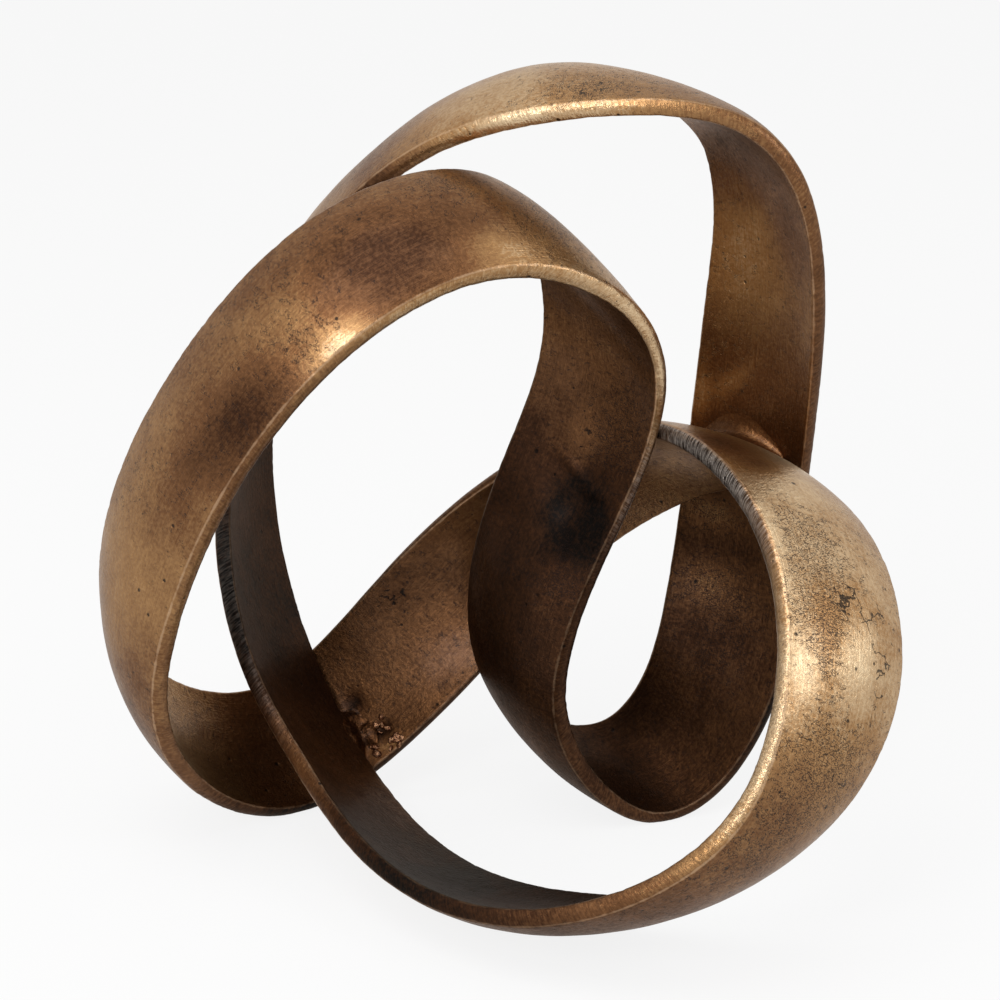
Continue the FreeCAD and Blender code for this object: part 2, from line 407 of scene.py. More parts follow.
class Graph:
    """A node tree that is filled call by call. Most calls give back the socket that they put out."""

    def __init__(self, tree: bpy.types.NodeTree) -> None:
        """Take a tree and empty it."""
        self.tree = tree
        tree.nodes.clear()

    def put(self, socket: Socket, value: Value) -> None:
        """Link a socket to another, or set its own value.

        Args:
            socket: an input of a node.
            value: an output of another node, or a plain value.
        """
        if isinstance(value, Socket):
            self.tree.links.new(value, socket)
        else:
            socket.default_value = value

    def node(self, kind: str, inputs: Optional[Inputs] = None, **settings: object) -> bpy.types.Node:
        """Add a node.

        Args:
            kind: the node's type.
            inputs: what its sockets take, by their name or place.
            settings: properties of the node, by name.

        Returns:
            The new node.
        """
        new = self.tree.nodes.new(kind)
        for name, value in settings.items():
            setattr(new, name, value)
        for key, value in (inputs or {}).items():
            self.put(new.inputs[key], value)
        return new

    def out(self, kind: str, inputs: Optional[Inputs] = None, **settings: object) -> Socket:
        """Add a node, and give back its first output."""
        return self.node(kind, inputs, **settings).outputs[0]

    def math(self, operation: str, *values: Value) -> Socket:
        """A sum, product or other operation on numbers."""
        return self.out("ShaderNodeMath", dict(enumerate(values)), operation=operation)

    def times(self, first: Value, second: Value) -> Socket:
        """A product."""
        return self.math("MULTIPLY", first, second)

    def over(self, first: Value, second: Value) -> Socket:
        """A quotient."""
        return self.math("DIVIDE", first, second)

    def minus(self, first: Value, second: Value) -> Socket:
        """A difference."""
        return self.math("SUBTRACT", first, second)

    def weighted(self, base: Value, *parts: tuple[Value, Value]) -> Socket:
        """A number with other numbers added to it, each times its own weight.

        Args:
            base: the number.
            parts: what is added, each with its weight.

        Returns:
            The sum.
        """
        for part, weight in parts:
            base = self.math("MULTIPLY_ADD", part, weight, base)
        return base

    def clamp(self, value: Value) -> Socket:
        """The value held between 0 and 1."""
        return self.out("ShaderNodeClamp", {"Value": value})

    def ramp(self, value: Value, low: float, high: float, start: float = 0.0, end: float = 1.0) -> Socket:
        """The value moved softly from one range to another.

        Args:
            value: the value.
            low, high: its own range.
            start, end: the range that it is moved to.

        Returns:
            The moved value, held within that range.
        """
        names = ("Value", "From Min", "From Max", "To Min", "To Max")
        inputs = dict(zip(names, (value, low, high, start, end)))
        return self.out("ShaderNodeMapRange", inputs, interpolation_type="SMOOTHSTEP")

    def add(self, first: Value, second: Value) -> Socket:
        """The sum of two vectors."""
        return self.out("ShaderNodeVectorMath", {0: first, 1: second}, operation="ADD")

    def dot(self, first: Value, second: Value) -> Socket:
        """The dot product of two vectors."""
        node = self.node("ShaderNodeVectorMath", {0: first, 1: second}, operation="DOT_PRODUCT")
        return node.outputs["Value"]

    def scale(self, vector: Value, factor: Value) -> Socket:
        """A vector times a number."""
        return self.out("ShaderNodeVectorMath", {0: vector, "Scale": factor}, operation="SCALE")

    def combine(self, x: Value, y: Value = 0.0, z: Value = 0.0) -> Socket:
        """A vector of three numbers."""
        return self.out("ShaderNodeCombineXYZ", {0: x, 1: y, 2: z})

    def parts(self, vector: Value) -> bpy.types.NodeOutputs:
        """The three numbers of a vector."""
        return self.node("ShaderNodeSeparateXYZ", {0: vector}).outputs

    def attribute(self, name: str) -> Socket:
        """A number that the mesh keeps for each point."""
        return self.node("ShaderNodeAttribute", attribute_name=name).outputs["Fac"]

    def noise(self, vector: Value, scale: Value, detail: float, roughness: float) -> Socket:
        """Soft noise from about 0 to 1."""
        inputs = {"Vector": vector, "Scale": scale, "Detail": detail, "Roughness": roughness}
        return self.out("ShaderNodeTexNoise", inputs)

    def cells(self, vector: Value, pitch: Value, feature: str) -> bpy.types.NodeOutputs:
        """Irregular cells of a certain pitch."""
        inputs = {"Vector": vector, "Scale": self.over(1.0, pitch)}
        return self.node("ShaderNodeTexVoronoi", inputs, feature=feature).outputs

    def mix(self, share: Value, first: Value, second: Value) -> Socket:
        """A colour between two colours."""
        inputs = {0: share, 6: first, 7: second}
        return self.node("ShaderNodeMix", inputs, data_type="RGBA", clamp_factor=True).outputs[2]


class ShaderGroup(Graph):
    """A shader node group with named inputs and outputs, which several materials use."""

    def __init__(self, name: str, inputs: dict[str, float], *outputs: str) -> None:
        """Make the empty group.

        Args:
            name: the group's name.
            inputs: names of the number inputs with their usual values. A vector input comes first.
            outputs: names of the number outputs.
        """
        super().__init__(bpy.data.node_groups.new(name, "ShaderNodeTree"))
        self.tree.interface.new_socket("Vector", in_out="INPUT", socket_type="NodeSocketVector")
        for label, value in inputs.items():
            socket = self.tree.interface.new_socket(label, in_out="INPUT", socket_type="NodeSocketFloat")
            socket.default_value = value
        for label in outputs:
            self.tree.interface.new_socket(label, in_out="OUTPUT", socket_type="NodeSocketFloat")
        self.inner = self.node("NodeGroupInput").outputs
        self.outer = self.node("NodeGroupOutput").inputs

    def give(self, **values: Value) -> "ShaderGroup":
        """Set what the group puts out, by name.

        Args:
            values: the outputs by name.

        Returns:
            The group itself.
        """
        for name, value in values.items():
            self.put(self.outer[name], value)
        return self

    def place(self, graph: Graph, vector: Value, **values: Value) -> bpy.types.NodeOutputs:
        """Use the group in a material.

        Args:
            graph: the material's graph.
            vector: what its Vector input takes.
            values: other inputs, by name with underscores for spaces.

        Returns:
            The outputs of the placed group.
        """
        inputs = {name.replace("_", " ").title(): value for name, value in values.items()}
        return graph.node("ShaderNodeGroup", {"Vector": vector, **inputs}, node_tree=self.tree).outputs


class FormTree(Graph):
    """A geometry node tree with named inputs, which shapes a mesh and is then taken off it."""

    def __init__(self, name: str, inputs: dict[str, str]) -> None:
        """Make the empty tree.

        Args:
            name: the tree's name.
            inputs: names of the inputs with the kinds of their sockets.
        """
        super().__init__(bpy.data.node_groups.new(name, "GeometryNodeTree"))
        self.tree.interface.new_socket("Geometry", in_out="OUTPUT", socket_type="NodeSocketGeometry")
        for label, kind in {"Geometry": "Geometry", **inputs, "Material": "Material"}.items():
            self.tree.interface.new_socket(label, in_out="INPUT", socket_type="NodeSocket" + kind)
        self.inner = self.node("NodeGroupInput").outputs

    def stored(self, name: str, kind: str = "FLOAT_VECTOR") -> Socket:
        """A named attribute of the mesh."""
        node = self.node("GeometryNodeInputNamedAttribute", {"Name": name}, data_type=kind)
        return next(socket for socket in node.outputs if socket.enabled and socket.name == "Attribute")

    def position(self) -> Socket:
        """Where each point is."""
        return self.out("GeometryNodeInputPosition")

    def move(self, geometry: Value, how: str, vector: Value) -> Socket:
        """Move all points to a Position, or by an Offset."""
        return self.out("GeometryNodeSetPosition", {"Geometry": geometry, how: vector})

    def finish(self, geometry: Value) -> "FormTree":
        """Set the material and put the geometry out.

        Args:
            geometry: the finished geometry.

        Returns:
            The tree itself.
        """
        inputs = {"Geometry": geometry, "Material": self.inner["Material"]}
        self.node("NodeGroupOutput", {"Geometry": self.out("GeometryNodeSetMaterial", inputs)})
        return self

    def shape(self, piece: bpy.types.Object, values: dict[str, object]) -> bpy.types.Object:
        """Run the tree on an object and keep its result as a plain mesh.

        Args:
            piece: the object.
            values: the tree's inputs by name.

        Returns:
            The same object with the finished mesh and no modifier.
        """
        modifier = piece.modifiers.new("form", "NODES")
        modifier.node_group = self.tree
        for item in self.tree.interface.items_tree:
            if item.item_type == "SOCKET" and item.in_out == "INPUT" and item.name in values:
                modifier[item.identifier] = values[item.name]
        return settled(piece)


class Effects:
    """The groups that more than one finish uses, each built once."""

    def __init__(self) -> None:
        """Build all groups."""
        self.patina = self.build_patina()
        self.pits = self.build_pits()
        self.file_marks = self.build_file_marks()
        self.flecks = self.build_flecks()
        self.cracks = self.build_cracks()
        self.wear_and_glint = self.build_wear_and_glint()
        self.brushing = self.build_brushing()

    def build_patina(self) -> ShaderGroup:
        """Cloudy patches, blotches and grain of a hand-laid patina, each from -1 to 1.

        Returns:
            The group.
        """
        sizes = {"Cloud Size": 0.04, "Blotch Size": 0.009, "Grain Size": 0.0014}
        g = ShaderGroup("patina_clouds", sizes, "Clouds", "Blotches", "Grain")
        for size, output, detail in zip(sizes, ("Clouds", "Blotches", "Grain"), (2.0, 4.0, 2.0)):
            value = g.noise(g.inner["Vector"], g.over(1.0, g.inner[size]), detail, 0.6)
            g.give(**{output: g.ramp(value, 0.28, 0.72, -1.0)})
        return g

    def build_pits(self) -> ShaderGroup:
        """Small round pits of cast metal: how deep a place is in one, from 0 to 1.

        Returns:
            The group.
        """
        g = ShaderGroup("cast_pits", {"Pit Pitch": 0.004, "Pit Breadth": 0.25, "Share": 0.3}, "Pit")
        cells = g.cells(g.inner["Vector"], g.inner["Pit Pitch"], "F1")
        chance = g.node("ShaderNodeSeparateColor", {0: cells["Color"]}).outputs
        there = g.math("LESS_THAN", chance[0], g.inner["Share"])
        breadth = g.times(g.inner["Pit Breadth"], g.math("ADD", chance[1], 0.35))
        depth = g.ramp(g.over(cells["Distance"], breadth), 0.35, 1.0, 1.0, 0.0)
        return g.give(Pit=g.times(depth, there))

    def build_file_marks(self) -> ShaderGroup:
        """Strokes of a file across a rim: their height and the light and dark between them.

        Returns:
            The group.
        """
        g = ShaderGroup("file_marks", {"Pitch": 0.0007, "Lean": 0.35}, "Height", "Shade")
        along, _, outward = g.parts(g.inner["Vector"])
        per_metre = g.over(1.0, g.inner["Pitch"])
        pitches = g.times(g.weighted(along, (outward, g.inner["Lean"])), per_metre)
        length = g.times(outward, g.times(per_metre, 0.10))
        stroke = g.noise(g.combine(pitches, length), 1.0, 2.0, 0.6)
        return g.give(Height=g.ramp(stroke, 0.35, 0.65), Shade=g.ramp(stroke, 0.38, 0.62, -1.0))

    def build_flecks(self) -> ShaderGroup:
        """Fine crooked marks of dark patina that lie close together in patches, from 0 to 1.

        Returns:
            The group.
        """
        g = ShaderGroup("dark_flecks", {"Fleck Size": 0.0009, "Share": 0.4}, "Fleck")
        along, across, outward = g.parts(g.inner["Vector"])
        per_metre = g.over(1.0, g.inner["Fleck Size"])
        long_way = g.times(along, g.times(per_metre, 1.3))
        short_way = g.times(across, g.times(per_metre, 0.7))
        grain = g.combine(long_way, short_way, g.times(outward, per_metre))
        crooked = g.minus(g.noise(grain, 1.0, 1.0, 0.5), 0.5)
        worm = g.ramp(g.math("ABSOLUTE", crooked), 0.02, 0.07, 1.0, 0.0)
        patch = g.weighted(g.noise(grain, 0.30, 3.0, 0.65), (g.minus(g.inner["Share"], 0.5), 0.50))
        return g.give(Fleck=g.times(worm, g.ramp(patch, 0.44, 0.60)))

    def build_cracks(self) -> ShaderGroup:
        """Short crooked cracks: how deep a place is in one, from 0 to 1.

        Returns:
            The group.
        """
        g = ShaderGroup("cast_cracks", {"Crack Pitch": 0.009, "Crack Width": 0.035, "Share": 0.0}, "Crack")
        place = g.inner["Vector"]
        bends_per_metre, bend_reach, patches_per_metre = 330.0, 0.004, 210.0
        bend = g.node("ShaderNodeTexNoise", {"Vector": place, "Scale": bends_per_metre}).outputs["Color"]
        bent = g.add(place, g.scale(bend, bend_reach))
        cells = g.cells(bent, g.inner["Crack Pitch"], "DISTANCE_TO_EDGE")
        line = g.ramp(g.over(cells["Distance"], g.inner["Crack Width"]), 0.3, 1.0, 1.0, 0.0)
        here = g.weighted(g.noise(place, patches_per_metre, 2.0, 0.6), (g.inner["Share"], 0.45))
        return g.give(Crack=g.times(line, g.ramp(here, 0.70, 0.80)))

    def build_wear_and_glint(self) -> ShaderGroup:
        """Bright corners, from 0 to 1, from the distance to the corner: partly metal rubbed bright by
        handling, partly a painted highlight where the corners catch light.

        Returns:
            The group.
        """
        g = ShaderGroup("corner_wear_and_glint", {"Distance": 0.0, "Reach": 0.0012, "Breakup": 0.5}, "Worn")
        chips_per_metre, most_breakup = 260.0, 4.0
        rough = g.minus(g.noise(g.inner["Vector"], chips_per_metre, 3.0, 0.6), 0.5)
        broken = g.times(rough, g.times(g.inner["Breakup"], most_breakup))
        share = g.over(g.inner["Distance"], g.inner["Reach"])
        return g.give(Worn=g.ramp(g.math("ADD", share, broken), 0.1, 1.2, 1.0, 0.0))

    def build_brushing(self) -> ShaderGroup:
        """Fine scratches along the band from working it over by hand, from -1 to 1.

        Returns:
            The group.
        """
        g = ShaderGroup("brushing", {"Line Width": 0.0004, "Line Length": 0.012}, "Line")
        along, across, _ = g.parts(g.inner["Vector"])
        lines = g.combine(g.over(along, g.inner["Line Length"]), g.over(across, g.inner["Line Width"]))
        return g.give(Line=g.ramp(g.noise(lines, 1.0, 2.0, 0.6), 0.3, 0.7, -1.0))


@dataclass(frozen=True)
class Finish:
    """Coated metal with a relief, which each finish colours in its own way.

    Args:
        name: the material's name.
        black: colour of pits.
        metallic: how metallic the skin is.
        tint: tint of its grazing reflections.
        coat_roughness: how rough the coat is.
    """

    name: str
    black: Colour = (0.055, 0.040, 0.032)
    metallic: float = 0.9
    tint: Colour = (0.66, 0.60, 0.55)
    coat_roughness: float = 0.28

    def start(self) -> tuple[bpy.types.Material, Graph, Socket]:
        """A new material, its empty graph, and the Object coordinates in it.

        Returns:
            The material, the graph and the socket of the coordinates.
        """
        material = bpy.data.materials.new(self.name)
        material.use_nodes = True
        graph = Graph(material.node_tree)
        return material, graph, graph.node("ShaderNodeTexCoord").outputs["Object"]

    def end(self, g: Graph, relief: float, height: Value, inputs: Inputs) -> None:
        """Finish the material.

        Args:
            g: its graph.
            relief: how deep the relief is.
            height: the relief as a share of that depth.
            inputs: what the colour, coat and roughness of the skin take.
        """
        bump = g.out("ShaderNodeBump", {"Strength": 1.0, "Distance": relief, "Height": height})
        common = {
            "Metallic": self.metallic,
            "Specular Tint": (*self.tint, 1.0),
            "Coat Roughness": self.coat_roughness,
            "Normal": bump,
        }
        skin = g.out("ShaderNodeBsdfPrincipled", {**common, **inputs})
        g.node("ShaderNodeOutputMaterial", {"Surface": skin})


@dataclass(frozen=True)
class PatinaFinish(Finish):
    """The patina of the castings, from black in the hollows to pale gold on the crowns.

    Args:
        umber: colour of shaded faces.
        brown: colour of half rubbed faces.
        gold: colour of rubbed crowns.
        pale: colour of the brightest rubbed metal.
        worn_and_glint: colour of bright corners, partly bare metal and partly a painted highlight.
        fleck: colour of the fine crooked marks.
        dark_hatch: colour between the file's strokes.
        light_hatch: colour of the file's strokes.
        cloud_depth: how much the clouds change the tone.
        blotch_depth: how much the blotches change the tone.
        grain_depth: how much the grain changes the tone.
        line_depth: how much the scratches change the tone.
        file_depth: how much the file's strokes change the tone.
        relief: depth of the skin's relief.
        stops: where umber, brown and gold lie between black, 0, and pale, 1.
        coat: weight of the coat on dark and on pale skin.
        roughness: how rough dark and pale skin is.
        pit_pitch: distance from one possible pit to the next.
        pit_shares: share of pits in good skin, and what a flaw adds to it.
        pit_cover: how black pits and cracks are.
        fleck_cover: how dark a fleck is on a rim, and what a face adds to it.
        hatch_cover: how much of a rim the file's hatching hides.
        wear_and_glint_reach: how far a bright corner reaches.
        wear_and_glint_breakup: how ragged its edge is.
        wear_and_glint_cover: how bright a corner is on dark and on pale skin.
    """

    name: str = "antique_patina"
    umber: Colour = (0.240, 0.145, 0.082)
    brown: Colour = (0.43, 0.285, 0.165)
    gold: Colour = (0.63, 0.475, 0.305)
    pale: Colour = (0.88, 0.78, 0.63)
    worn_and_glint: Colour = (0.76, 0.63, 0.50)
    fleck: Colour = (0.150, 0.105, 0.088)
    dark_hatch: Colour = (0.10, 0.088, 0.088)
    light_hatch: Colour = (0.66, 0.63, 0.60)
    cloud_depth: float = 0.045
    blotch_depth: float = 0.030
    grain_depth: float = 0.05
    line_depth: float = 0.03
    file_depth: float = 0.035
    relief: float = 0.0004
    stops: tuple[float, float, float] = (0.22, 0.46, 0.70)
    coat: tuple[float, float] = (0.03, 0.24)
    roughness: tuple[float, float] = (0.50, 0.30)
    pit_pitch: float = 0.0035
    pit_shares: tuple[float, float] = (0.05, 0.35)
    pit_cover: float = 0.85
    fleck_cover: tuple[float, float] = (0.34, 0.50)
    hatch_cover: float = 0.9
    wear_and_glint_reach: float = 0.0005
    wear_and_glint_breakup: float = 0.7
    wear_and_glint_cover: tuple[float, float] = (0.10, 0.50)

    def build(self, effects: Effects) -> bpy.types.Material:
        """The material.

        Args:
            effects: the shared groups.

        Returns:
            A material that reads the castings' own attributes.
        """
        material, g, place = self.start()
        path = g.node("ShaderNodeAttribute", attribute_name="path").outputs["Vector"]
        tone, rim, corner, fleck, flaw, hatch = (
            g.attribute(name) for name in ("tone", "rim", "from_corner", "fleck", "flaw", "hatch")
        )
        patina = effects.patina.place(g, place)
        flecks = effects.flecks.place(g, path, share=fleck)["Fleck"]
        pitted = g.weighted(self.pit_shares[0], (flaw, self.pit_shares[1]))
        pits = effects.pits.place(g, place, share=pitted, pit_pitch=self.pit_pitch)
        cracks = effects.cracks.place(g, place, share=flaw)
        deep = g.math("MAXIMUM", pits["Pit"], cracks["Crack"])
        marks = effects.file_marks.place(g, path)
        reach, breakup = self.wear_and_glint_reach, self.wear_and_glint_breakup
        wear_and_glint = effects.wear_and_glint.place(g, place, distance=corner, reach=reach, breakup=breakup)
        face = g.minus(1.0, rim)
        lines = g.times(effects.brushing.place(g, path)["Line"], face)
        shade = g.weighted(
            tone,
            (patina["Clouds"], self.cloud_depth),
            (patina["Blotches"], self.blotch_depth),
            (patina["Grain"], self.grain_depth),
            (lines, self.line_depth),
            (g.times(marks["Shade"], rim), self.file_depth),
        )
        shade = g.clamp(shade)

        ramp = g.node("ShaderNodeValToRGB", {0: shade})
        elements = ramp.color_ramp.elements
        elements[0].color, elements[-1].color = linear(self.black), linear(self.pale)
        for share, middle in zip(self.stops, (self.umber, self.brown, self.gold)):
            elements.new(share).color = linear(middle)

        dark = g.times(flecks, g.weighted(self.fleck_cover[0], (face, self.fleck_cover[1])))
        stroke = g.weighted(0.5, (marks["Shade"], 0.5))
        grey = g.mix(stroke, linear(self.dark_hatch), linear(self.light_hatch))
        # bright corners, partly rubbed metal and partly a painted highlight where they catch light, brighter
        # on golden skin
        worn_and_glint = g.times(wear_and_glint["Worn"], g.ramp(tone, 0.1, 0.6, *self.wear_and_glint_cover))
        worn_and_glint = g.times(worn_and_glint, g.minus(1.0, g.times(hatch, 0.85)))
        colour = ramp.outputs[0]
        for share, other in (
            (dark, linear(self.fleck)),
            (g.times(hatch, g.times(rim, self.hatch_cover)), grey),
            (worn_and_glint, linear(self.worn_and_glint)),
            (g.times(deep, self.pit_cover), linear(self.black)),
        ):
            colour = g.mix(share, colour, other)
        height = g.weighted(
            0.0,
            (patina["Grain"], 0.10),
            (patina["Blotches"], 0.16),
            (lines, 0.06),
            (g.times(marks["Height"], rim), 0.08),
            (flecks, -0.20),
            (deep, -0.8),
        )
        inputs = {
            "Base Color": colour,
            "Coat Weight": g.ramp(shade, 0.15, 0.55, *self.coat),
            "Roughness": g.weighted(g.ramp(shade, 0.1, 0.8, *self.roughness), (flecks, 0.12)),
        }
        self.end(g, self.relief, height, inputs)
        return material


@dataclass(frozen=True)
class FillerFinish(Finish):
    """Weld filler under the patina: soft brown folds, with paler ridges.

    Args:
        dark: colour in the folds.
        light: colour of the ridges.
        coarseness: size of the folds.
        relief: depth of the folds.
        roughness: how rough the filler is.
        coat: weight of the coat.
        pit_share: share of pits.
        pit_cover: how black they are.
    """

    name: str = "weld_filler"
    black: Colour = (0.08, 0.055, 0.04)
    dark: Colour = (0.17, 0.10, 0.06)
    light: Colour = (0.42, 0.27, 0.155)
    coarseness: float = 0.006
    relief: float = 0.0006
    roughness: float = 0.38
    coat: float = 0.08
    pit_share: float = 0.2
    pit_cover: float = 0.8

    def build(self, effects: Effects) -> bpy.types.Material:
        """The material.

        Args:
            effects: the shared groups.

        Returns:
            A material that reads Object coordinates only.
        """
        material, g, place = self.start()
        patina = effects.patina.place(g, place, blotch_size=self.coarseness)
        pits = effects.pits.place(g, place, share=self.pit_share)["Pit"]
        blotches, grain = patina["Blotches"], patina["Grain"]
        share = g.clamp(g.weighted(0.45, (blotches, 0.42), (grain, 0.12)))
        colour = g.mix(share, linear(self.dark), linear(self.light))
        colour = g.mix(g.times(pits, self.pit_cover), colour, linear(self.black))
        height = g.weighted(0.0, (blotches, 0.5), (grain, 0.12), (pits, -0.5))
        inputs = {"Base Color": colour, "Coat Weight": self.coat, "Roughness": self.roughness}
        self.end(g, self.relief, height, inputs)
        return material


BEAD_FINISH = FillerFinish(
    "weld_beads", dark=(0.34, 0.16, 0.07), light=(0.74, 0.56, 0.42), coarseness=0.003, roughness=0.24
)


@dataclass(frozen=True)
class Track:
    """The band's frames at many places: middles, directions and distance along it."""

    centre: np.ndarray
    across: np.ndarray
    outward: np.ndarray
    travel: np.ndarray
    along: np.ndarray
    crown: np.ndarray


@dataclass(frozen=True)
class Outline:
    """The section's points, as shares of its sizes, with what side each is on.

    Args:
        shares: for each point its shares of half width, rim bulge, half rim, crown and hollow.
        weights: for each point how much it belongs to each Side.
    """

    shares: np.ndarray
    weights: np.ndarray


@dataclass
class Band:
    """The band's way through space and its section, from the object's named sizes."""

    knot_width: float = 0.292
    knot_depth: float = 0.242
    knot_height: float = 0.293
    width: float = 0.055
    rim_thickness: float = 0.0065
    rim_bulge: float = 0.001
    crown_height: float = 0.0055
    hollow_depth: float = 0.0035
    crown_fade: float = 0.025
    strand_gap: float = 0.0008
    weld_length: float = 0.003
    corner_radius: float = 0.0009
    ring_pitch: float = 0.0011
    end_rings: tuple[float, ...] = (0.0, 0.00005, 0.00015, 0.00035, 0.00075)
    face_steps: int = 46
    even_share: float = 0.45
    eased_share: float = 0.55
    rim_steps: int = 8
    corner_steps: int = 4
    slope_rounds: int = 60
    fine_steps: int = 100

    def __post_init__(self) -> None:
        """Work out the rim curve, its slopes and the distance along the band."""
        first = [self.rim_point(station, 1) for station in STATION_SHARES]
        second = [self.rim_point(station, -1) for station in STATION_SHARES]
        self.rim = np.array(first + second)
        chords = np.roll(self.rim, -1, axis=0) - np.roll(self.rim, 1, axis=0)
        slopes = chords / 2
        for _ in range(self.slope_rounds):
            slopes = (3 * chords - np.roll(slopes, 1, axis=0) - np.roll(slopes, -1, axis=0)) / 4
        self.slopes = slopes
        self.fine = np.linspace(0, STATIONS, STATIONS * self.fine_steps + 1)
        first_line = self.rim_places(self.fine)[0]
        second_line = self.rim_places(self.fine + STATIONS)[0]
        steps = np.linalg.norm(np.diff((first_line + second_line) / 2, axis=0), axis=1)
        self.fine_along = np.concatenate(([0.0], np.cumsum(steps)))

    def rim_point(self, station: Station, side: int) -> np.ndarray:
        """The tip of the first rim (side 1) or the second (side -1) at a station.

        Args:
            station: the station.
            side: 1 for the first rim, -1 for the second.

        Returns:
            The tip.
        """
        across = np.array(station.across_shares)
        across /= np.linalg.norm(across)
        layer_pitch = self.rim_thickness + self.crown_height + self.strand_gap
        centre = np.array(
            (
                station.x_share * self.knot_width,
                station.y_share * self.knot_depth + station.layer * layer_pitch,
                station.low_share * self.knot_height + abs(across[2]) * self.width / 2,
            )
        )
        return centre + across * (side * self.width / 2)

    def rim_places(self, positions: np.ndarray) -> tuple[np.ndarray, np.ndarray]:
        """Points and slopes of the rim curve at positions counted in stations.

        Args:
            positions: stations, from 0 to twice their number, as the curve goes round twice.

        Returns:
            The points and the slopes.
        """
        wrapped = np.mod(positions, len(self.rim))
        i = wrapped.astype(int)
        j = (i + 1) % len(self.rim)
        f = (wrapped - i)[:, None]
        a, b, p, q = self.rim[i], self.rim[j], self.slopes[i], self.slopes[j]
        point = (
            a * (1 + 2 * f) * (1 - f) ** 2
            + b * f * f * (3 - 2 * f)
            + p * f * (1 - f) ** 2
            - q * f * f * (1 - f)
        )
        slope = (b - a) * 6 * f * (1 - f) + p * (1 - f) * (1 - 3 * f) + q * f * (3 * f - 2)
        return point, slope

    def along(self, positions: np.ndarray) -> np.ndarray:
        """Distance along the band from the seam."""
        return np.interp(positions, self.fine, self.fine_along)

    def track(self, positions: np.ndarray) -> Track:
        """The band's frames at positions counted in stations.

        Args:
            positions: stations.

        Returns:
            The frames.
        """
        first, first_slope = self.rim_places(positions)
        second, second_slope = self.rim_places(positions + STATIONS)
        travel = unit(first_slope + second_slope)
        across = first - second
        across = unit(across - travel * (across * travel).sum(axis=1)[:, None])
        along = self.along(positions)
        from_seam = np.minimum(along, self.fine_along[-1] - along) - self.weld_length / 2
        crown = smooth(from_seam / self.crown_fade)
        return Track((first + second) / 2, across, np.cross(travel, across), travel, along, crown)

    def skin_point(self, station: float, across_share: float, side: Side) -> tuple[np.ndarray, np.ndarray]:
        """A point on a face of the band.

        Args:
            station: where it is along the band.
            across_share: where it is across, from -1 at the second rim to 1 at the first.
            side: the outer or the inner face.

        Returns:
            The point, and the directions along, across and outward, one in each row.
        """
        track = self.track(np.array((station,)))
        arch = track.crown[0] * (1 - across_share**2)
        height = self.rim_thickness / 2 + arch * self.crown_height
        if side is Side.INNER:
            height = arch * self.hollow_depth - self.rim_thickness / 2
        across = across_share * (self.width / 2 - self.rim_bulge)
        point = track.centre[0] + track.across[0] * across + track.outward[0] * height
        return point, np.stack((track.travel[0], track.across[0], track.outward[0]))

    def outline(self) -> Outline:
        """The closed section, from the middle of the first rim over the outer face and back.

        Returns:
            The section.
        """
        poles = {
            Side.FIRST_RIM: ((1, 0, -1, 0, 0), (1, 2, 0, 0, 0), (1, 0, 1, 0, 0)),
            Side.OUTER: ((1, 0, 1, 0, 0), (0, 0, 1, 2, 0), (-1, 0, 1, 0, 0)),
            Side.SECOND_RIM: ((-1, 0, 1, 0, 0), (-1, -2, 0, 0, 0), (-1, 0, -1, 0, 0)),
            Side.INNER: ((-1, 0, -1, 0, 0), (0, 0, -1, 0, 2), (1, 0, -1, 0, 0)),
        }
        rim_cut, face_cut = self.corner_radius / self.rim_thickness, self.corner_radius / self.width
        share = np.linspace(0, 1, self.face_steps + 1)
        rim_span = np.linspace(rim_cut, 1 - rim_cut, self.rim_steps + 1)
        eased = self.even_share * share + self.eased_share * smooth(share)
        face_span = face_cut + (1 - 2 * face_cut) * eased
        corner_span = np.linspace(0, 1, self.corner_steps + 2)[1:-1]
        shares: list[np.ndarray] = []
        weights: list[np.ndarray] = []
        for side in Side:
            after = Side((side.value + 1) % len(Side))
            here, there = np.array(poles[side], float), np.array(poles[after], float)
            span, cut, next_cut = rim_span, rim_cut, face_cut
            if side in (Side.OUTER, Side.INNER):
                span, cut, next_cut = face_span, face_cut, rim_cut
            start, end = curve(here, np.array((1 - cut,)))[0], curve(there, np.array((next_cut,)))[0]
            shares += [curve(here, span), curve((start, here[2], end), corner_span)]
            own, other = np.eye(len(Side))[[side.value, after.value]]
            t = corner_span[:, None]
            weights += [np.tile(own, (len(span), 1)), own * (1 - t) + other * t]
        half = self.rim_steps // 2
        return Outline(*(np.roll(np.concatenate(rows), -half, axis=0) for rows in (shares, weights)))

    def sizes(self, crown: np.ndarray) -> np.ndarray:
        """The section's sizes at each ring, in the order of an outline's shares.

        Args:
            crown: for each ring how much of its crown and hollow it has.

        Returns:
            A row of sizes for each ring.
        """
        ones = np.ones_like(crown)
        return np.stack(
            (
                ones * (self.width / 2 - self.rim_bulge),
                ones * self.rim_bulge,
                ones * self.rim_thickness / 2,
                crown * self.crown_height,
                crown * self.hollow_depth,
            ),
            axis=1,
        )


@dataclass(frozen=True)
class StainAndPaintedLight(Mark):
    """A patch of the skin that differs from the rest: some are stains, flecks, flaws and file hatching of
    the patina, others painted light, namely painted highlights, sheen and dark reflections.

    Args:
        tone: what it adds to the tone.
        fleck: what it adds to the share of dark flecks.
        flaw: what it adds to the share of pits and cracks.
        hatch: what it adds to the file's grey hatching.
        turn: how far it is turned on its side, in degrees.
    """

    tone: float = 0.0
    fleck: float = 0.0
    flaw: float = 0.0
    hatch: float = 0.0
    turn: float = 0.0
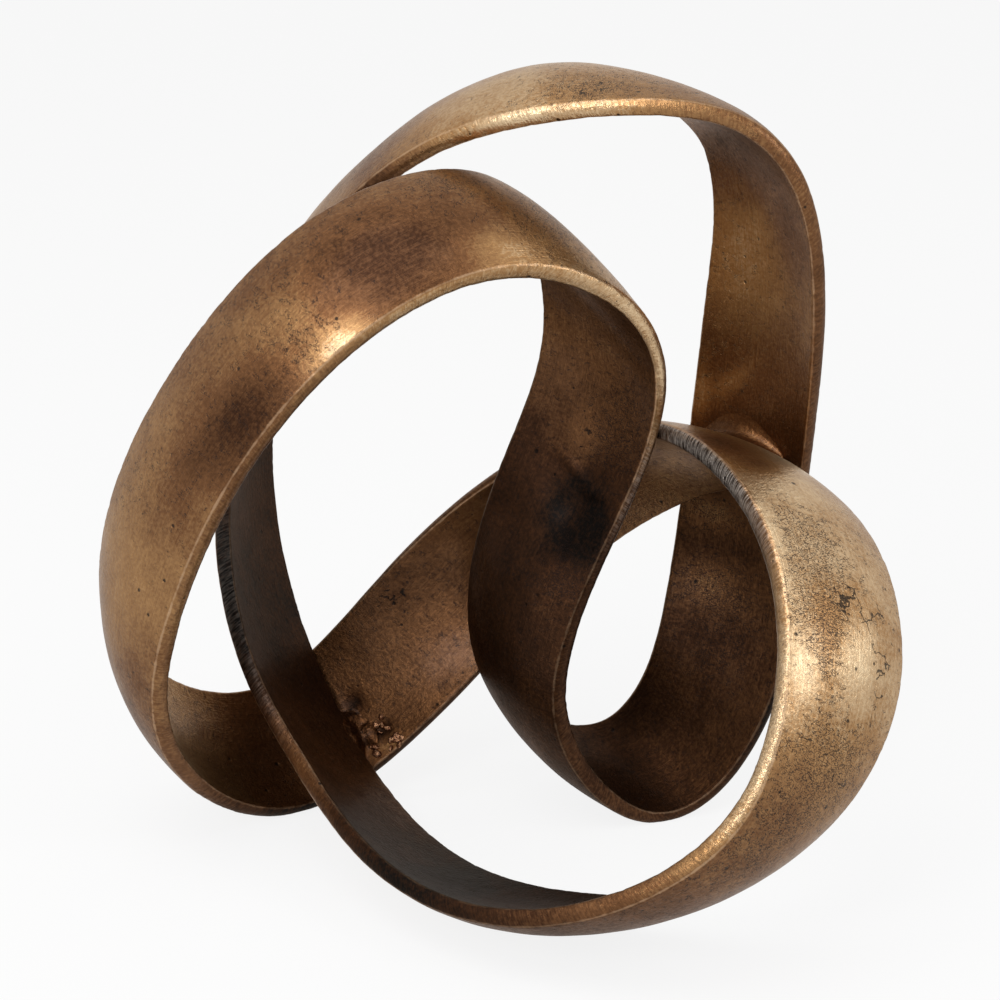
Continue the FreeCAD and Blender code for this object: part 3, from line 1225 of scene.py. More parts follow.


# Patches of the skin that differ from the rest; the ones marked below are painted light.
STAINS_AND_PAINTED_LIGHT = (
    # the left loop, from its top down its left side
    StainAndPaintedLight(1.90, 0.20, Side.OUTER, 0.016, 0.018, tone=-0.02, fleck=0.40),
    StainAndPaintedLight(2.40, -0.45, Side.OUTER, 0.018, 0.014, tone=-0.03, fleck=0.30),
    StainAndPaintedLight(2.25, 0.75, Side.OUTER, 0.020, 0.008, tone=0.16, fleck=-0.20),
    # 2.70 and 3.02: painted dark reflection across the crown near the top of the left loop
    StainAndPaintedLight(2.70, 0.45, Side.OUTER, 0.027, 0.022, tone=-0.33, fleck=-0.25, turn=20.0),
    StainAndPaintedLight(3.02, -0.05, Side.OUTER, 0.016, 0.016, tone=-0.15),
    # painted highlight on the crown beside the first rim
    StainAndPaintedLight(3.28, 0.95, Side.OUTER, 0.013, 0.007, tone=0.40),
    StainAndPaintedLight(3.42, 0.40, Side.OUTER, 0.016, 0.016, tone=0.08, fleck=0.14),
    StainAndPaintedLight(3.30, -0.60, Side.OUTER, 0.030, 0.012, tone=-0.04, fleck=0.15),
    # 3.75 and 4.22: painted dark reflection down the crown of the left side; the few flecks they add are
    #                patina
    StainAndPaintedLight(3.75, 0.70, Side.OUTER, 0.026, 0.016, tone=-0.20, fleck=0.05),
    StainAndPaintedLight(4.22, 0.60, Side.OUTER, 0.030, 0.016, tone=-0.20, fleck=0.05),
    StainAndPaintedLight(4.35, 0.80, Side.OUTER, 0.012, 0.008, tone=0.12),
    StainAndPaintedLight(4.60, -0.30, Side.OUTER, 0.022, 0.014, tone=0.05, fleck=0.10),
    StainAndPaintedLight(5.20, 0.10, Side.OUTER, 0.030, 0.020, tone=0.03, fleck=-0.30),
    StainAndPaintedLight(5.60, 0.55, Side.OUTER, 0.020, 0.012, tone=-0.08, fleck=0.10),
    # the rear arch
    StainAndPaintedLight(20.10, -0.20, Side.OUTER, 0.020, 0.014, tone=-0.05, fleck=0.10),
    StainAndPaintedLight(20.70, -0.30, Side.OUTER, 0.020, 0.014, tone=0.08, fleck=-0.20),
    StainAndPaintedLight(21.30, -0.60, Side.OUTER, 0.022, 0.012, tone=-0.06, fleck=0.35, flaw=0.40),
    # the front bow
    StainAndPaintedLight(11.00, -0.15, Side.OUTER, 0.012, 0.018, tone=0.14, fleck=-0.40),
    StainAndPaintedLight(10.60, -0.72, Side.OUTER, 0.014, 0.011, tone=-0.42, fleck=-0.30),
    StainAndPaintedLight(10.66, 0.30, Side.OUTER, 0.010, 0.010, tone=0.30, fleck=-0.30),
    StainAndPaintedLight(10.83, -0.50, Side.OUTER, 0.006, 0.007, tone=-0.24, fleck=-0.20),
    StainAndPaintedLight(11.50, -0.58, Side.OUTER, 0.030, 0.014, tone=0.04, fleck=0.75),
    StainAndPaintedLight(11.30, -0.95, Side.OUTER, 0.020, 0.004, tone=0.14, fleck=-0.50),
    StainAndPaintedLight(11.70, 0.00, Side.OUTER, 0.008, 0.012, tone=-0.06, flaw=1.00),
    StainAndPaintedLight(11.95, 0.45, Side.OUTER, 0.016, 0.006, tone=-0.04, flaw=0.90),
    # 12.15 and 12.00: painted highlights where the crown of the front bow catches the light
    StainAndPaintedLight(12.15, -0.78, Side.OUTER, 0.014, 0.006, tone=0.12, fleck=-0.30),
    StainAndPaintedLight(12.00, 0.10, Side.OUTER, 0.014, 0.009, tone=0.12, fleck=-0.30),
    StainAndPaintedLight(11.85, -0.45, Side.OUTER, 0.020, 0.006, tone=-0.10, fleck=0.30),
    StainAndPaintedLight(12.50, -0.10, Side.OUTER, 0.016, 0.020, tone=-0.03, fleck=0.55, flaw=0.45),
    StainAndPaintedLight(12.90, -0.40, Side.OUTER, 0.022, 0.016, tone=-0.06, fleck=0.35),
    StainAndPaintedLight(13.40, -0.55, Side.OUTER, 0.028, 0.016, tone=0.02, fleck=0.10),
    # the inside of the rear post
    StainAndPaintedLight(22.10, 0.20, Side.INNER, 0.020, 0.022, tone=-0.06),
    StainAndPaintedLight(22.70, 0.40, Side.INNER, 0.022, 0.014, tone=0.16, flaw=0.15),
    StainAndPaintedLight(23.00, -0.60, Side.INNER, 0.035, 0.010, tone=-0.10),
    # 23.60 and 23.51: painted highlights, a light streak down the post's left edge and a turned streak where
    #                  its hollow face bulges toward the light
    StainAndPaintedLight(23.60, 0.88, Side.INNER, 0.014, 0.004, tone=0.30),
    StainAndPaintedLight(23.51, 0.48, Side.INNER, 0.014, 0.004, tone=0.26, turn=36.0),
    StainAndPaintedLight(24.35, 0.45, Side.INNER, 0.006, 0.014, tone=0.22, fleck=0.50),
    StainAndPaintedLight(24.62, 0.30, Side.INNER, 0.006, 0.018, tone=-0.10),
    StainAndPaintedLight(25.00, 0.35, Side.INNER, 0.009, 0.014, tone=0.18, fleck=0.50),
    StainAndPaintedLight(25.60, 0.10, Side.INNER, 0.020, 0.018, tone=-0.02, fleck=0.30),
    # the seam
    StainAndPaintedLight(0.46, 0.02, Side.INNER, 0.011, 0.009, tone=0.20, flaw=0.50),
    StainAndPaintedLight(0.12, 0.34, Side.INNER, 0.018, 0.010, tone=-0.34, turn=-25.0),
    StainAndPaintedLight(0.07, 0.62, Side.INNER, 0.008, 0.006, tone=-0.30),
    StainAndPaintedLight(0.60, 0.50, Side.INNER, 0.016, 0.009, tone=0.02, fleck=0.70),
    StainAndPaintedLight(29.75, -0.60, Side.OUTER, 0.011, 0.009, tone=0.08, fleck=0.50),
    # painted sheen where the crown turns away at its edge
    StainAndPaintedLight(29.60, 0.70, Side.OUTER, 0.022, 0.007, tone=0.10),
    # the cross strap and the left foot
    StainAndPaintedLight(8.10, -0.70, Side.INNER, 0.007, 0.006, tone=-0.04, flaw=0.45),
    StainAndPaintedLight(7.90, -0.20, Side.INNER, 0.020, 0.018, tone=0.08, flaw=0.12),
    StainAndPaintedLight(7.53, 0.00, Side.INNER, 0.0035, 0.0035, tone=-0.30),
    StainAndPaintedLight(7.56, 0.60, Side.INNER, 0.004, 0.003, tone=-0.30),
    StainAndPaintedLight(7.55, 0.85, Side.INNER, 0.005, 0.004, tone=0.20),
    StainAndPaintedLight(10.20, 0.10, Side.INNER, 0.014, 0.020, tone=-0.04, flaw=0.40),
    # the file's grey hatching on the rims
    StainAndPaintedLight(10.65, -1.00, Side.SECOND_RIM, 0.048, 0.020, tone=0.10, hatch=1.20),
    StainAndPaintedLight(15.00, 1.00, Side.FIRST_RIM, 0.060, 0.020, tone=0.10, hatch=0.60),
    StainAndPaintedLight(0.42, 1.00, Side.FIRST_RIM, 0.020, 0.020, tone=0.02, fleck=0.50, hatch=0.35),
    StainAndPaintedLight(12.45, -1.00, Side.SECOND_RIM, 0.040, 0.020, tone=0.08, fleck=0.60),
    StainAndPaintedLight(17.20, 1.00, Side.FIRST_RIM, 0.050, 0.020, hatch=0.60),
    StainAndPaintedLight(17.00, -1.00, Side.SECOND_RIM, 0.050, 0.020, tone=-0.05, hatch=0.15),
)


@dataclass(frozen=True)
class Dent(Mark):
    """A crater, hollow or lump of the skin.

    Args:
        depth: how deep it is, below 0 for a lump.
        turn: how far it is turned on its side, in degrees.
    """

    depth: float
    turn: float = 0.0


DENTS = (
    Dent(0.11, 0.30, Side.INNER, 0.0110, 0.0110, 0.0036),
    Dent(0.31, 0.02, Side.INNER, 0.0022, 0.0080, -0.0009, turn=20.0),
    Dent(0.25, 0.50, Side.INNER, 0.0022, 0.0080, -0.0010, turn=-20.0),
    Dent(0.48, 0.00, Side.INNER, 0.0100, 0.0100, -0.0004),
    Dent(7.53, 0.00, Side.INNER, 0.0045, 0.0045, 0.0008),
    Dent(7.56, 0.60, Side.INNER, 0.0040, 0.0030, 0.0010),
    Dent(11.70, -0.05, Side.OUTER, 0.0050, 0.0060, 0.0003),
    Dent(2.80, 0.45, Side.OUTER, 0.0160, 0.0120, 0.0004),
    Dent(3.55, 0.30, Side.OUTER, 0.0140, 0.0120, 0.0003),
    Dent(4.05, 0.40, Side.OUTER, 0.0140, 0.0120, 0.0003),
    Dent(23.50, 0.20, Side.INNER, 0.0100, 0.0100, 0.0004),
    Dent(24.30, 0.35, Side.INNER, 0.0080, 0.0120, 0.0004),
)


@dataclass
class CastingForm:
    """Sweeps a casting with the band's section and lets a node tree shape its cast skin."""

    band: Band
    ripple: float = 0.00035
    ripple_length: float = 0.028
    chip: float = 0.00025
    chip_length: float = 0.004
    chip_reach: float = 0.002
    fleck_share: float = 0.36
    seed: float = 7.0

    def __post_init__(self) -> None:
        """Build the node tree that all castings share."""
        self.outline = self.band.outline()
        self.tree = self.build_tree()

    def sizes(self) -> dict[str, float]:
        """The tree's numbers: the band's section, and the ripple and chips of its skin.

        Returns:
            The numbers by the names of the tree's inputs.
        """
        return {
            "Band Width": self.band.width,
            "Rim Thickness": self.band.rim_thickness,
            "Rim Bulge": self.band.rim_bulge,
            "Crown Height": self.band.crown_height,
            "Hollow Depth": self.band.hollow_depth,
            "Ripple": self.ripple,
            "Ripple Length": self.ripple_length,
            "Chip": self.chip,
            "Chip Length": self.chip_length,
            "Seed": self.seed,
        }

    def build_tree(self) -> FormTree:
        """The tree that puts each lattice point at its place and gives the skin its ripple.

        Returns:
            A geometry node tree with named inputs for its sizes.
        """
        g = FormTree("casting_form", dict.fromkeys(self.sizes(), "Float"))
        inner = g.inner
        half_width = g.minus(g.times(inner["Band Width"], 0.5), inner["Rim Bulge"])
        half_rim = g.times(inner["Rim Thickness"], 0.5)
        across_sizes = g.combine(half_width, inner["Rim Bulge"])
        outward_sizes = g.combine(half_rim, inner["Crown Height"], inner["Hollow Depth"])
        across = g.scale(g.stored("across_way"), g.dot(g.stored("across_shares"), across_sizes))
        outward = g.scale(g.stored("outward_way"), g.dot(g.stored("outward_shares"), outward_sizes))
        shaped = g.move(inner["Geometry"], "Position", g.add(g.add(g.position(), across), outward))

        seeded = g.add(g.position(), g.combine(inner["Seed"]))
        wave = g.noise(seeded, g.over(1.0, inner["Ripple Length"]), 2.0, 0.5)
        wave = g.times(g.minus(wave, 0.5), g.times(inner["Ripple"], 2.0))
        nick = g.noise(seeded, g.over(1.0, inner["Chip Length"]), 2.0, 0.6)
        nick = g.times(g.ramp(nick, 0.45, 0.75, 0.0, -1.0), inner["Chip"])
        nick = g.times(nick, g.stored("corner", "FLOAT"))
        lift = g.math("ADD", g.math("ADD", wave, nick), g.stored("lift", "FLOAT"))
        skin = g.move(shaped, "Offset", g.scale(g.stored("face_way"), lift))

        x, y, z = g.parts(g.position())
        ground = g.move(skin, "Position", g.combine(x, y, g.math("MAXIMUM", z, 0.0)))
        return g.finish(g.out("GeometryNodeRealizeInstances", {"Geometry": ground}))

    def lattice(self, casting: Casting) -> tuple[bpy.types.Mesh, tuple[str, ...]]:
        """The casting's points on the band's middle line, with what the tree needs to spread them.

        Args:
            casting: which length of the band.

        Returns:
            A closed mesh whose rings still lie folded on the middle line, and the names of the
            attributes that only the tree needs.
        """
        band = self.band
        start, end = band.along(np.array((casting.start, casting.end), float))
        near = np.array(band.end_rings)
        inner_count = math.ceil((end - start - 2 * near[-1]) / band.ring_pitch) + 1
        inner_rings = np.linspace(start + near[-1], end - near[-1], inner_count)
        along = np.concatenate((start + near[:-1], inner_rings, (end - near[:-1])[::-1]))
        positions = np.interp(along, band.fine_along, band.fine)
        track = band.track(positions)
        shares, weights = self.outline.shares, self.outline.weights
        rings, count = len(along), len(shares)
        sizes = band.sizes(track.crown)
        flat = np.stack((shares[:, :2] @ sizes[:, :2].T, shares[:, 2:] @ sizes[:, 2:].T), axis=2)
        flat = flat.transpose(1, 0, 2)

        mesh = bpy.data.meshes.new(casting.name)
        sides = ring_faces(rings, count)
        points = np.repeat(track.centre, count, axis=0).tolist()
        mesh.from_pydata(points, [], sides + self.caps(rings, count), shade_flat=False)
        sharp = mesh.attributes.new("sharp_face", "BOOLEAN", "FACE")
        sharp.data.foreach_set("value", np.arange(len(mesh.polygons)) >= len(sides))

        ahead = unit(np.roll(flat, -1, axis=1) - np.roll(flat, 1, axis=1))
        steps = np.linalg.norm(np.diff(flat, axis=1, append=flat[:, :1]), axis=2)
        around = np.concatenate((np.zeros((rings, 1)), np.cumsum(steps, axis=1)[:, :-1]), axis=1)
        corner = self.from_corner(around, steps.sum(axis=1))
        usual, crown = np.ones((rings, count)), track.crown[:, None]
        half, bulge, thick, crowned, hollow = shares.T
        helpers = {
            "across_way": np.repeat(track.across, count, axis=0),
            "outward_way": np.repeat(track.outward, count, axis=0),
            "across_shares": np.stack((usual * half, usual * bulge, usual * 0), axis=2),
            "outward_shares": np.stack((usual * thick, crown * crowned, crown * hollow), axis=2),
            "face_way": track.across[:, None] * ahead[:, :, 1:2] - track.outward[:, None] * ahead[:, :, :1],
            "corner": np.clip(1 - corner / self.chip_reach, 0, 1),
            "lift": self.lift(track, flat),
        }
        looks = {
            "from_corner": corner,
            "rim": usual * (weights[:, Side.FIRST_RIM.value] + weights[:, Side.SECOND_RIM.value]),
            "path": np.stack((usual * track.along[:, None], flat[:, :, 0], flat[:, :, 1]), axis=2),
        }
        away = {"tone": self.tone(positions), "fleck": self.fleck_share, "flaw": 0.0, "hatch": 0.0}
        for kind, value in away.items():
            looks[kind] = self.stained_and_lit(kind, value, track, flat)
        keep(mesh, {**helpers, **looks})
        return mesh, tuple(helpers)

    @staticmethod
    def caps(rings: int, count: int) -> list[tuple[int, ...]]:
        """The faces of the two ends, each from the near half of its ring to the far half.

        Args:
            rings: how many rings.
            count: points in each.

        Returns:
            The faces, as numbers of points.
        """
        faces: list[tuple[int, ...]] = []
        last = (rings - 1) * count
        for k in range(count // 2):
            far, far_after = (count - k) % count, (count - k - 1) % count
            faces.append(tuple(dict.fromkeys((k, far, far_after, k + 1))))
            faces.append(tuple(dict.fromkeys((last + k, last + k + 1, last + far_after, last + far))))
        return faces

    def from_corner(self, around: np.ndarray, total: np.ndarray) -> np.ndarray:
        """Distance from each outline point to the nearest corner, along the outline.

        Args:
            around: how far along the outline each point is.
            total: the outline's length at each ring.

        Returns:
            The distance for each point.
        """
        corners = np.flatnonzero(self.outline.weights.max(axis=1) < 1).reshape(len(Side), -1)
        middle = self.band.corner_steps // 2
        nearest = np.full_like(around, 1.0)
        for low, high in corners[:, middle - 1 : middle + 1]:
            spot = (around[:, low] + around[:, high]) / 2
            gap = np.abs(around - spot[:, None])
            nearest = np.minimum(nearest, np.minimum(gap, total[:, None] - gap))
        return nearest

    def tone(self, positions: np.ndarray) -> np.ndarray:
        """How golden each point is away from all patches of stains and painted light, from the listed tones.

        Args:
            positions: the rings' places, in stations.

        Returns:
            The tone of each point.
        """
        faces = [tone.outer for tone in TONE_SHARES] + [tone.inner for tone in TONE_SHARES]
        rims = [tone.first_rim for tone in TONE_SHARES] + [tone.second_rim for tone in TONE_SHARES]
        places = np.arange(len(faces) + 1)
        sides = [
            np.interp(np.mod(positions + turn, len(row)), places, row + row[:1])
            for row, turn in ((rims, 0), (faces, 0), (rims, STATIONS), (faces, STATIONS))
        ]
        return np.stack(sides, axis=1) @ self.outline.weights.T

    def stained_and_lit(
        self, kind: str, usual: Union[float, np.ndarray], track: Track, flat: np.ndarray
    ) -> np.ndarray:
        """A value of the skin with what the patches of stains and painted light add to it, held between 0
        and 1.

        Args:
            kind: which value of a patch.
            usual: the value away from all patches.
            track: the band's frames.
            flat: the section's points at each frame.

        Returns:
            The value at each point.
        """
        value = np.zeros(flat.shape[:2]) + usual
        for stain_and_light in STAINS_AND_PAINTED_LIGHT:
            change = getattr(stain_and_light, kind)
            if change:
                value = value + change * self.spot(stain_and_light, track, flat)
        return np.clip(value, 0, 1)

    def lift(self, track: Track, flat: np.ndarray) -> np.ndarray:
        """How far each point stands out because of a dent or lump.

        Args:
            track: the band's frames.
            flat: the section's points at each frame.

        Returns:
            The height at each point.
        """
        lift = np.zeros(flat.shape[:2])
        for dent in DENTS:
            lift -= dent.depth * self.spot(dent, track, flat)
        return lift

    def spot(self, mark: Union[StainAndPaintedLight, Dent], track: Track, flat: np.ndarray) -> np.ndarray:
        """How much each point lies in a mark. Past the seam a mark goes on, on the other side.

        Args:
            mark: the patch or dent.
            track: the band's frames.
            flat: the section's points at each frame.

        Returns:
            A share from 0 to 1 for each point.
        """
        total = self.band.fine_along[-1]
        gap = track.along - self.band.along(np.array([mark.station]))[0]
        past = np.abs(gap) > total / 2
        gap = np.where(past, gap - np.sign(gap) * total, gap)[:, None]
        across = np.where(past, -1.0, 1.0)[:, None] * flat[:, :, 0] - mark.across_share * self.band.width / 2
        turn = math.radians(mark.turn)
        lengthwise = gap * math.cos(turn) + across * math.sin(turn)
        crosswise = across * math.cos(turn) - gap * math.sin(turn)
        away = np.hypot(lengthwise / mark.length, crosswise / mark.breadth)
        weights = self.outline.weights
        other = (mark.side.value + 2) % len(Side)
        on_side = np.where(past[:, None], weights[:, other], weights[:, mark.side.value])
        return np.exp(-(away**2)) * on_side

    def build(self, casting: Casting, material: bpy.types.Material) -> bpy.types.Object:
        """Make one casting.

        Args:
            casting: which length of the band.
            material: its finish.

        Returns:
            The finished piece, with its place in its mesh.
        """
        lattice, helpers = self.lattice(casting)
        piece = linked("cast_" + casting.name, lattice)
        self.tree.shape(piece, {**self.sizes(), "Material": material})
        for name in helpers:
            piece.data.attributes.remove(piece.data.attributes[name])
        return piece


@dataclass
class ContactFiller:
    """The fillets of filler between two strands that touch.

    Short lengths of both strands and the node's own lump are made one soft skin. It is sunk a little under
    the strands' own skins, so only the filled corners between them show.
    """

    form: CastingForm
    grain: float = 0.0008
    sink: float = 0.00018
    softness: float = 0.5
    half_length: float = 0.42
    reach: float = 1.5
    above_table: float = 0.0005
    merge: float = 1e-6

    def build(self, weld: ContactWeld, material: bpy.types.Material) -> bpy.types.Object:
        """Make the filler of one contact weld.

        Args:
            weld: which one.
            material: its finish.

        Returns:
            The finished piece, with its place in its mesh.
        """
        joined = bmesh.new()
        joined.from_mesh(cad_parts[weld.name].data)
        bmesh.ops.remove_doubles(joined, verts=joined.verts, dist=self.merge)
        for station in (weld.front, weld.rear):
            length = Casting("length", station - self.half_length, station + self.half_length)
            strand = self.form.build(length, material)
            joined.from_mesh(strand.data)
            bpy.data.objects.remove(strand)
        for lump in weld.lumps:
            point, axes = self.form.band.skin_point(lump.station, lump.across_share, lump.side)
            sizes = np.array((lump.length, lump.breadth, lump.height))
            for vertex in unit_ball(joined, 3):
                vertex.co = point + (np.array(vertex.co) * sizes) @ axes
        piece = linked_shape("fillet_" + weld.name, joined)
        dress(piece.data, material)
        cutter = self.cutter(weld)
        for kind, settings in (
            ("REMESH", {"mode": "VOXEL", "voxel_size": self.grain, "use_smooth_shade": True}),
            ("SMOOTH", {"factor": self.softness, "iterations": weld.soft}),
            ("DISPLACE", {"strength": -self.sink, "mid_level": 0.0}),
            ("BOOLEAN", {"operation": "INTERSECT", "solver": "EXACT", "object": cutter}),
        ):
            modifier = piece.modifiers.new(kind.lower(), kind)
            for name, value in settings.items():
                setattr(modifier, name, value)
        settled(piece)
        dress(piece.data, material)
        bpy.data.objects.remove(cutter)
        return piece

    def cutter(self, weld: ContactWeld) -> bpy.types.Object:
        """An egg round the node's box that the filler stays in.

        Args:
            weld: which contact weld.

        Returns:
            The egg, as an object to cut with.
        """
        low, high = (np.array(corner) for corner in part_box(weld.name))
        shape = bmesh.new()
        for vertex in unit_ball(shape, 4):
            spot = (low + high) / 2 + np.array(vertex.co) * (high - low) / 2 * self.reach
            spot[2] = max(spot[2], self.above_table)
            vertex.co = spot
        return linked_shape("cutter", shape)


@dataclass
class WedgeFiller:
    """Sweeps a wedge whose open side is a hollow curve that meets both strands softly."""

    form: CastingForm
    rings: int = 49
    steps: int = 18
    first_step: float = 0.01
    sink: float = 0.0005
    root: float = 0.0020
    heart: float = 0.35
    end_share: float = 0.10
    fullness: float = 0.7
    top_tone: float = 0.52
    foot_tone: float = 0.32
    fleck: float = 0.25
    corner_distance: float = 1.0

    def ring(self, wedge: Wedge, share: float) -> np.ndarray:
        """The closed section of a wedge.

        Args:
            wedge: which one.
            share: how far along it, from 0 to 1.

        Returns:
            The section's points, over the open side and back inside both strands.
        """
        places = [
            first + (last - first) * share
            for first, last in (wedge.top_stations, wedge.top_shares, wedge.foot_stations, wedge.foot_shares)
        ]
        top, top_axes = self.form.band.skin_point(places[0], places[1], Side.INNER)
        foot, foot_axes = self.form.band.skin_point(places[2], places[3], Side.OUTER)
        down, into_top, into_foot = top_axes[0], top_axes[2], -foot_axes[2]
        corner = top + down * ((foot - top) @ into_foot) / (down @ into_foot)
        full = self.end_share + (1 - self.end_share) * math.sin(math.pi * share) ** self.fullness
        top = corner + (top - corner) * full + into_top * self.sink
        foot = corner + (foot - corner) * full + into_foot * self.sink
        corner = corner + (into_top + into_foot) * self.sink
        middle = np.linspace(self.first_step, 1 - self.first_step, self.steps)
        hollow = curve((top, corner, foot), np.concatenate(((0.0,), middle, (1.0,))))
        heart = corner + (corner - (top + foot) / 2) * self.heart
        inside = np.array((foot + into_foot * 2 * self.root, heart, top + into_top * self.root))
        return np.concatenate((hollow, inside))

    def build(self, wedge: Wedge, material: bpy.types.Material) -> bpy.types.Object:
        """Make the wedge.

        Args:
            wedge: which one.
            material: its finish.

        Returns:
            The finished piece, with its place in its mesh.
        """
        rings = [self.ring(wedge, share) for share in np.linspace(0, 1, self.rings)]
        count = len(rings[0])
        ends = np.array((rings[0].mean(axis=0), rings[-1].mean(axis=0)))
        points = np.concatenate((*rings, ends))
        total, last = len(points), (self.rings - 1) * count
        faces = ring_faces(self.rings, count)
        for c in range(count):
            d = (c + 1) % count
            faces += [(total - 2, d, c), (total - 1, last + c, last + d)]
        mesh = bpy.data.meshes.new("fillet_" + wedge.name)
        mesh.from_pydata(points.tolist(), [], faces, shade_flat=False)
        shape = bmesh.new()
        shape.from_mesh(mesh)
        bmesh.ops.recalc_face_normals(shape, faces=shape.faces)
        shape.to_mesh(mesh)
        shape.free()
        dress(mesh, material)
        down = np.clip(np.arange(count) / self.steps, 0, 1)
        tone = self.top_tone + (self.foot_tone - self.top_tone) * down
        values = {
            "tone": np.array((*np.tile(tone, self.rings), self.foot_tone, self.foot_tone)),
            "fleck": np.full(total, self.fleck),
            "from_corner": np.full(total, self.corner_distance),
            "path": points,
        }
        keep(mesh, values)
        return linked(mesh.name, mesh)


@dataclass
class Spatter:
    """Beads of weld metal on the left foot, just below the foot weld."""

    form: CastingForm
    first_station: float = 7.46
    last_station: float = 7.62
    rows: int = 14
    low_share: float = 0.45
    high_share: float = 0.99
    columns: int = 22
    beads_per_area: float = 110000.0
    bead: float = 0.0021
    least: tuple[float, float, float] = (0.30, 0.30, 0.25)
    most: tuple[float, float, float] = (1.30, 0.80, 0.60)
    seed: int = 5

    def build(self, material: bpy.types.Material) -> bpy.types.Object:
        """Make the beads.

        Args:
            material: their finish.

        Returns:
            One piece with all beads, with its place in its mesh.
        """
        values = {
            "Beads Per Area": self.beads_per_area,
            "Bead": self.bead,
            "Seed": self.seed,
            "Material": material,
        }
        return self.build_tree().shape(linked("foot_spatter", self.ground()), values)

    def ground(self) -> bpy.types.Mesh:
        """The patch of the foot's hollow face that the beads lie on.

        Returns:
            An open mesh.
        """
        points = [
            self.form.band.skin_point(station, share, Side.INNER)[0].tolist()
            for station in np.linspace(self.first_station, self.last_station, self.rows)
            for share in np.linspace(self.low_share, self.high_share, self.columns)
        ]
        mesh = bpy.data.meshes.new("ground")
        mesh.from_pydata(points, [], ring_faces(self.rows, self.columns, closed=False))
        return mesh

    def build_tree(self) -> FormTree:
        """The tree that strews beads over the patch.

        Returns:
            A geometry node tree with named inputs for its sizes.
        """
        g = FormTree("weld_spatter", {"Beads Per Area": "Float", "Bead": "Float", "Seed": "Int"})
        inner = g.inner
        inputs = {"Mesh": inner["Geometry"], "Density": inner["Beads Per Area"], "Seed": inner["Seed"]}
        strewn = g.node("GeometryNodeDistributePointsOnFaces", inputs).outputs
        ball = g.out("GeometryNodeMeshIcoSphere", {"Radius": inner["Bead"], "Subdivisions": 2})
        inputs = {"Min": self.least, "Max": self.most, "Seed": inner["Seed"]}
        scale = g.out("FunctionNodeRandomValue", inputs, data_type="FLOAT_VECTOR")
        inputs = {name: strewn[name] for name in ("Points", "Rotation")}
        placed = g.out("GeometryNodeInstanceOnPoints", {**inputs, "Instance": ball, "Scale": scale})
        real = g.out("GeometryNodeRealizeInstances", {"Geometry": placed})
        return g.finish(g.out("GeometryNodeSetShadeSmooth", {0: real}))


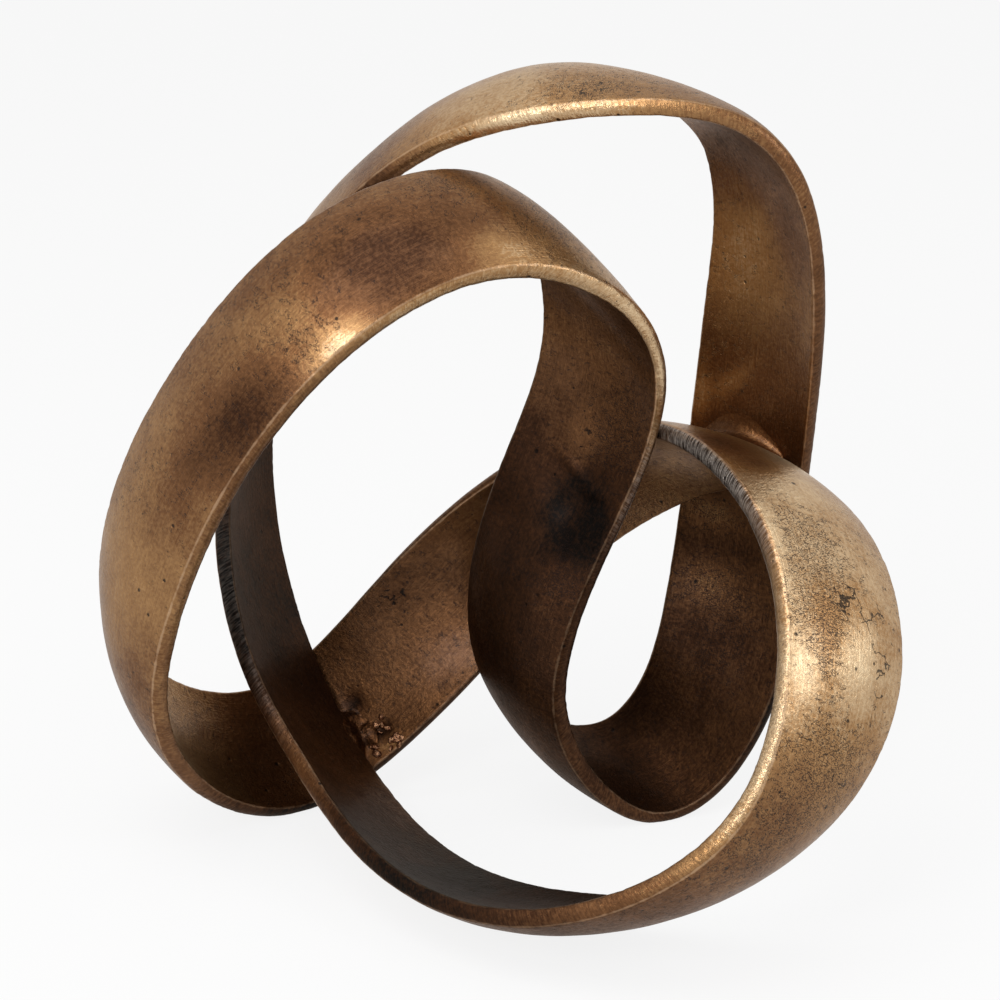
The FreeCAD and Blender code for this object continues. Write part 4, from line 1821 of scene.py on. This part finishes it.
@dataclass
class Studio:
    """A pale floor, soft light and the camera."""

    distance: float = 1.1
    elevation: float = 20.0
    aim: tuple[float, float, float] = (0.004, 0.024, 0.13454)
    lens: float = 106.2
    sensor: float = 36.0
    far_end: float = 20.0
    floor_size: float = 6.0
    floor_grey: float = 0.8
    floor_glow: float = 0.85
    air: float = 0.6

    def build(self) -> None:
        """Place everything."""
        self.add_camera()
        self.add_floor()
        self.add_world()
        self.add_light("overhead", (-0.35, -0.45, 1.50), size=1.0, power=9.0)
        self.add_light("left_softbox", (-0.49, -0.97, 0.80), size=0.40, power=4.0)
        self.add_light("right_softbox", (1.00, -0.42, 0.83), size=0.40, power=2.0)

    def add_camera(self) -> None:
        """The camera at the height and distance of the photograph's."""
        camera = bpy.data.cameras.new("camera")
        camera.lens = self.lens
        camera.sensor_width = self.sensor
        camera.clip_end = self.far_end
        seat = linked("camera", camera)
        tilt = math.radians(self.elevation)
        back, up = self.distance * math.cos(tilt), self.distance * math.sin(tilt)
        seat.location = (self.aim[0], self.aim[1] - back, self.aim[2] + up)
        seat.rotation_euler = (math.pi / 2 - tilt, 0.0, 0.0)
        bpy.context.scene.camera = seat

    def seen_white(self, graph: Graph, strength: float) -> Socket:
        """A share that is the strength where the camera or a mirror image looks, and 0 elsewhere.

        Args:
            graph: the graph of a material or world.
            strength: the strength.

        Returns:
            The share.
        """
        paths = graph.node("ShaderNodeLightPath").outputs
        seen = graph.math("MAXIMUM", paths["Is Camera Ray"], paths["Is Glossy Ray"])
        return graph.times(graph.math("MAXIMUM", seen, paths["Is Transmission Ray"]), strength)

    def add_floor(self) -> None:
        """A pale floor that looks white and keeps a soft shadow."""
        half = self.floor_size / 2
        mesh = bpy.data.meshes.new("floor")
        corners = [(-half, -half, 0), (half, -half, 0), (half, half, 0), (-half, half, 0)]
        mesh.from_pydata(corners, [], [(0, 1, 2, 3)])
        floor = linked("floor", mesh)
        material = bpy.data.materials.new("pale_floor")
        material.use_nodes = True
        g = Graph(material.node_tree)
        matt = g.out("ShaderNodeBsdfDiffuse", {"Color": (*[self.floor_grey] * 3, 1.0)})
        light = g.out("ShaderNodeEmission", {"Color": WHITE})
        blend = g.out("ShaderNodeMixShader", {0: self.seen_white(g, self.floor_glow), 1: matt, 2: light})
        g.node("ShaderNodeOutputMaterial", {"Surface": blend})
        dress(mesh, material)

    def add_world(self) -> None:
        """Even light from all round, and white where it is seen."""
        world = bpy.data.worlds.new("studio")
        world.use_nodes = True
        g = Graph(world.node_tree)
        strength = g.math("MAXIMUM", self.seen_white(g, 1.0), self.air)
        light = g.out("ShaderNodeBackground", {"Color": WHITE, "Strength": strength})
        g.node("ShaderNodeOutputWorld", {"Surface": light})
        bpy.context.scene.world = world

    def add_light(self, name: str, place: tuple[float, float, float], size: float, power: float) -> None:
        """A square soft light that faces the object.

        Args:
            name: its name.
            place: where it is.
            size: its width.
            power: its power, in watts.
        """
        lamp = bpy.data.lights.new(name, "AREA")
        lamp.size = size
        lamp.energy = power
        seat = linked(name, lamp)
        seat.location = place
        way = np.array(self.aim) - np.array(place)
        flat = math.hypot(way[0], way[1])
        seat.rotation_euler = (math.atan2(flat, -way[2]), 0.0, math.atan2(-way[0], way[1]))


def main() -> None:
    """Build the knot and its studio, and report each piece."""
    logging.basicConfig(level=logging.INFO, format="%(name)s: %(message)s")
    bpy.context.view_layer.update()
    Studio().build()
    effects = Effects()
    patina = PatinaFinish().build(effects)
    form = CastingForm(Band())
    for casting in CASTINGS:
        piece = form.build(casting, patina)
        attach(piece, "root")
        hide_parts(casting.name, "butt_weld_" + casting.name)
        log.info("%s: %d faces", piece.name, len(piece.data.polygons))
    soft_brown = FillerFinish().build(effects)
    even_brown = PatinaFinish("filler_patina").build(effects)
    fillets = {weld.name: ContactFiller(form).build(weld, soft_brown) for weld in CONTACT_WELDS}
    fillets[POST_WEDGE.name] = WedgeFiller(form).build(POST_WEDGE, even_brown)
    for name, piece in fillets.items():
        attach(piece, "root")
        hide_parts(name)
        log.info("%s: %d faces", piece.name, len(piece.data.polygons))
    beads = Spatter(form).build(BEAD_FINISH.build(effects))
    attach(beads, "root")
    log.info("%s: %d faces", beads.name, len(beads.data.polygons))
    bpy.context.scene.view_settings.view_transform = "Standard"


if __name__ == "__main__":
    main()
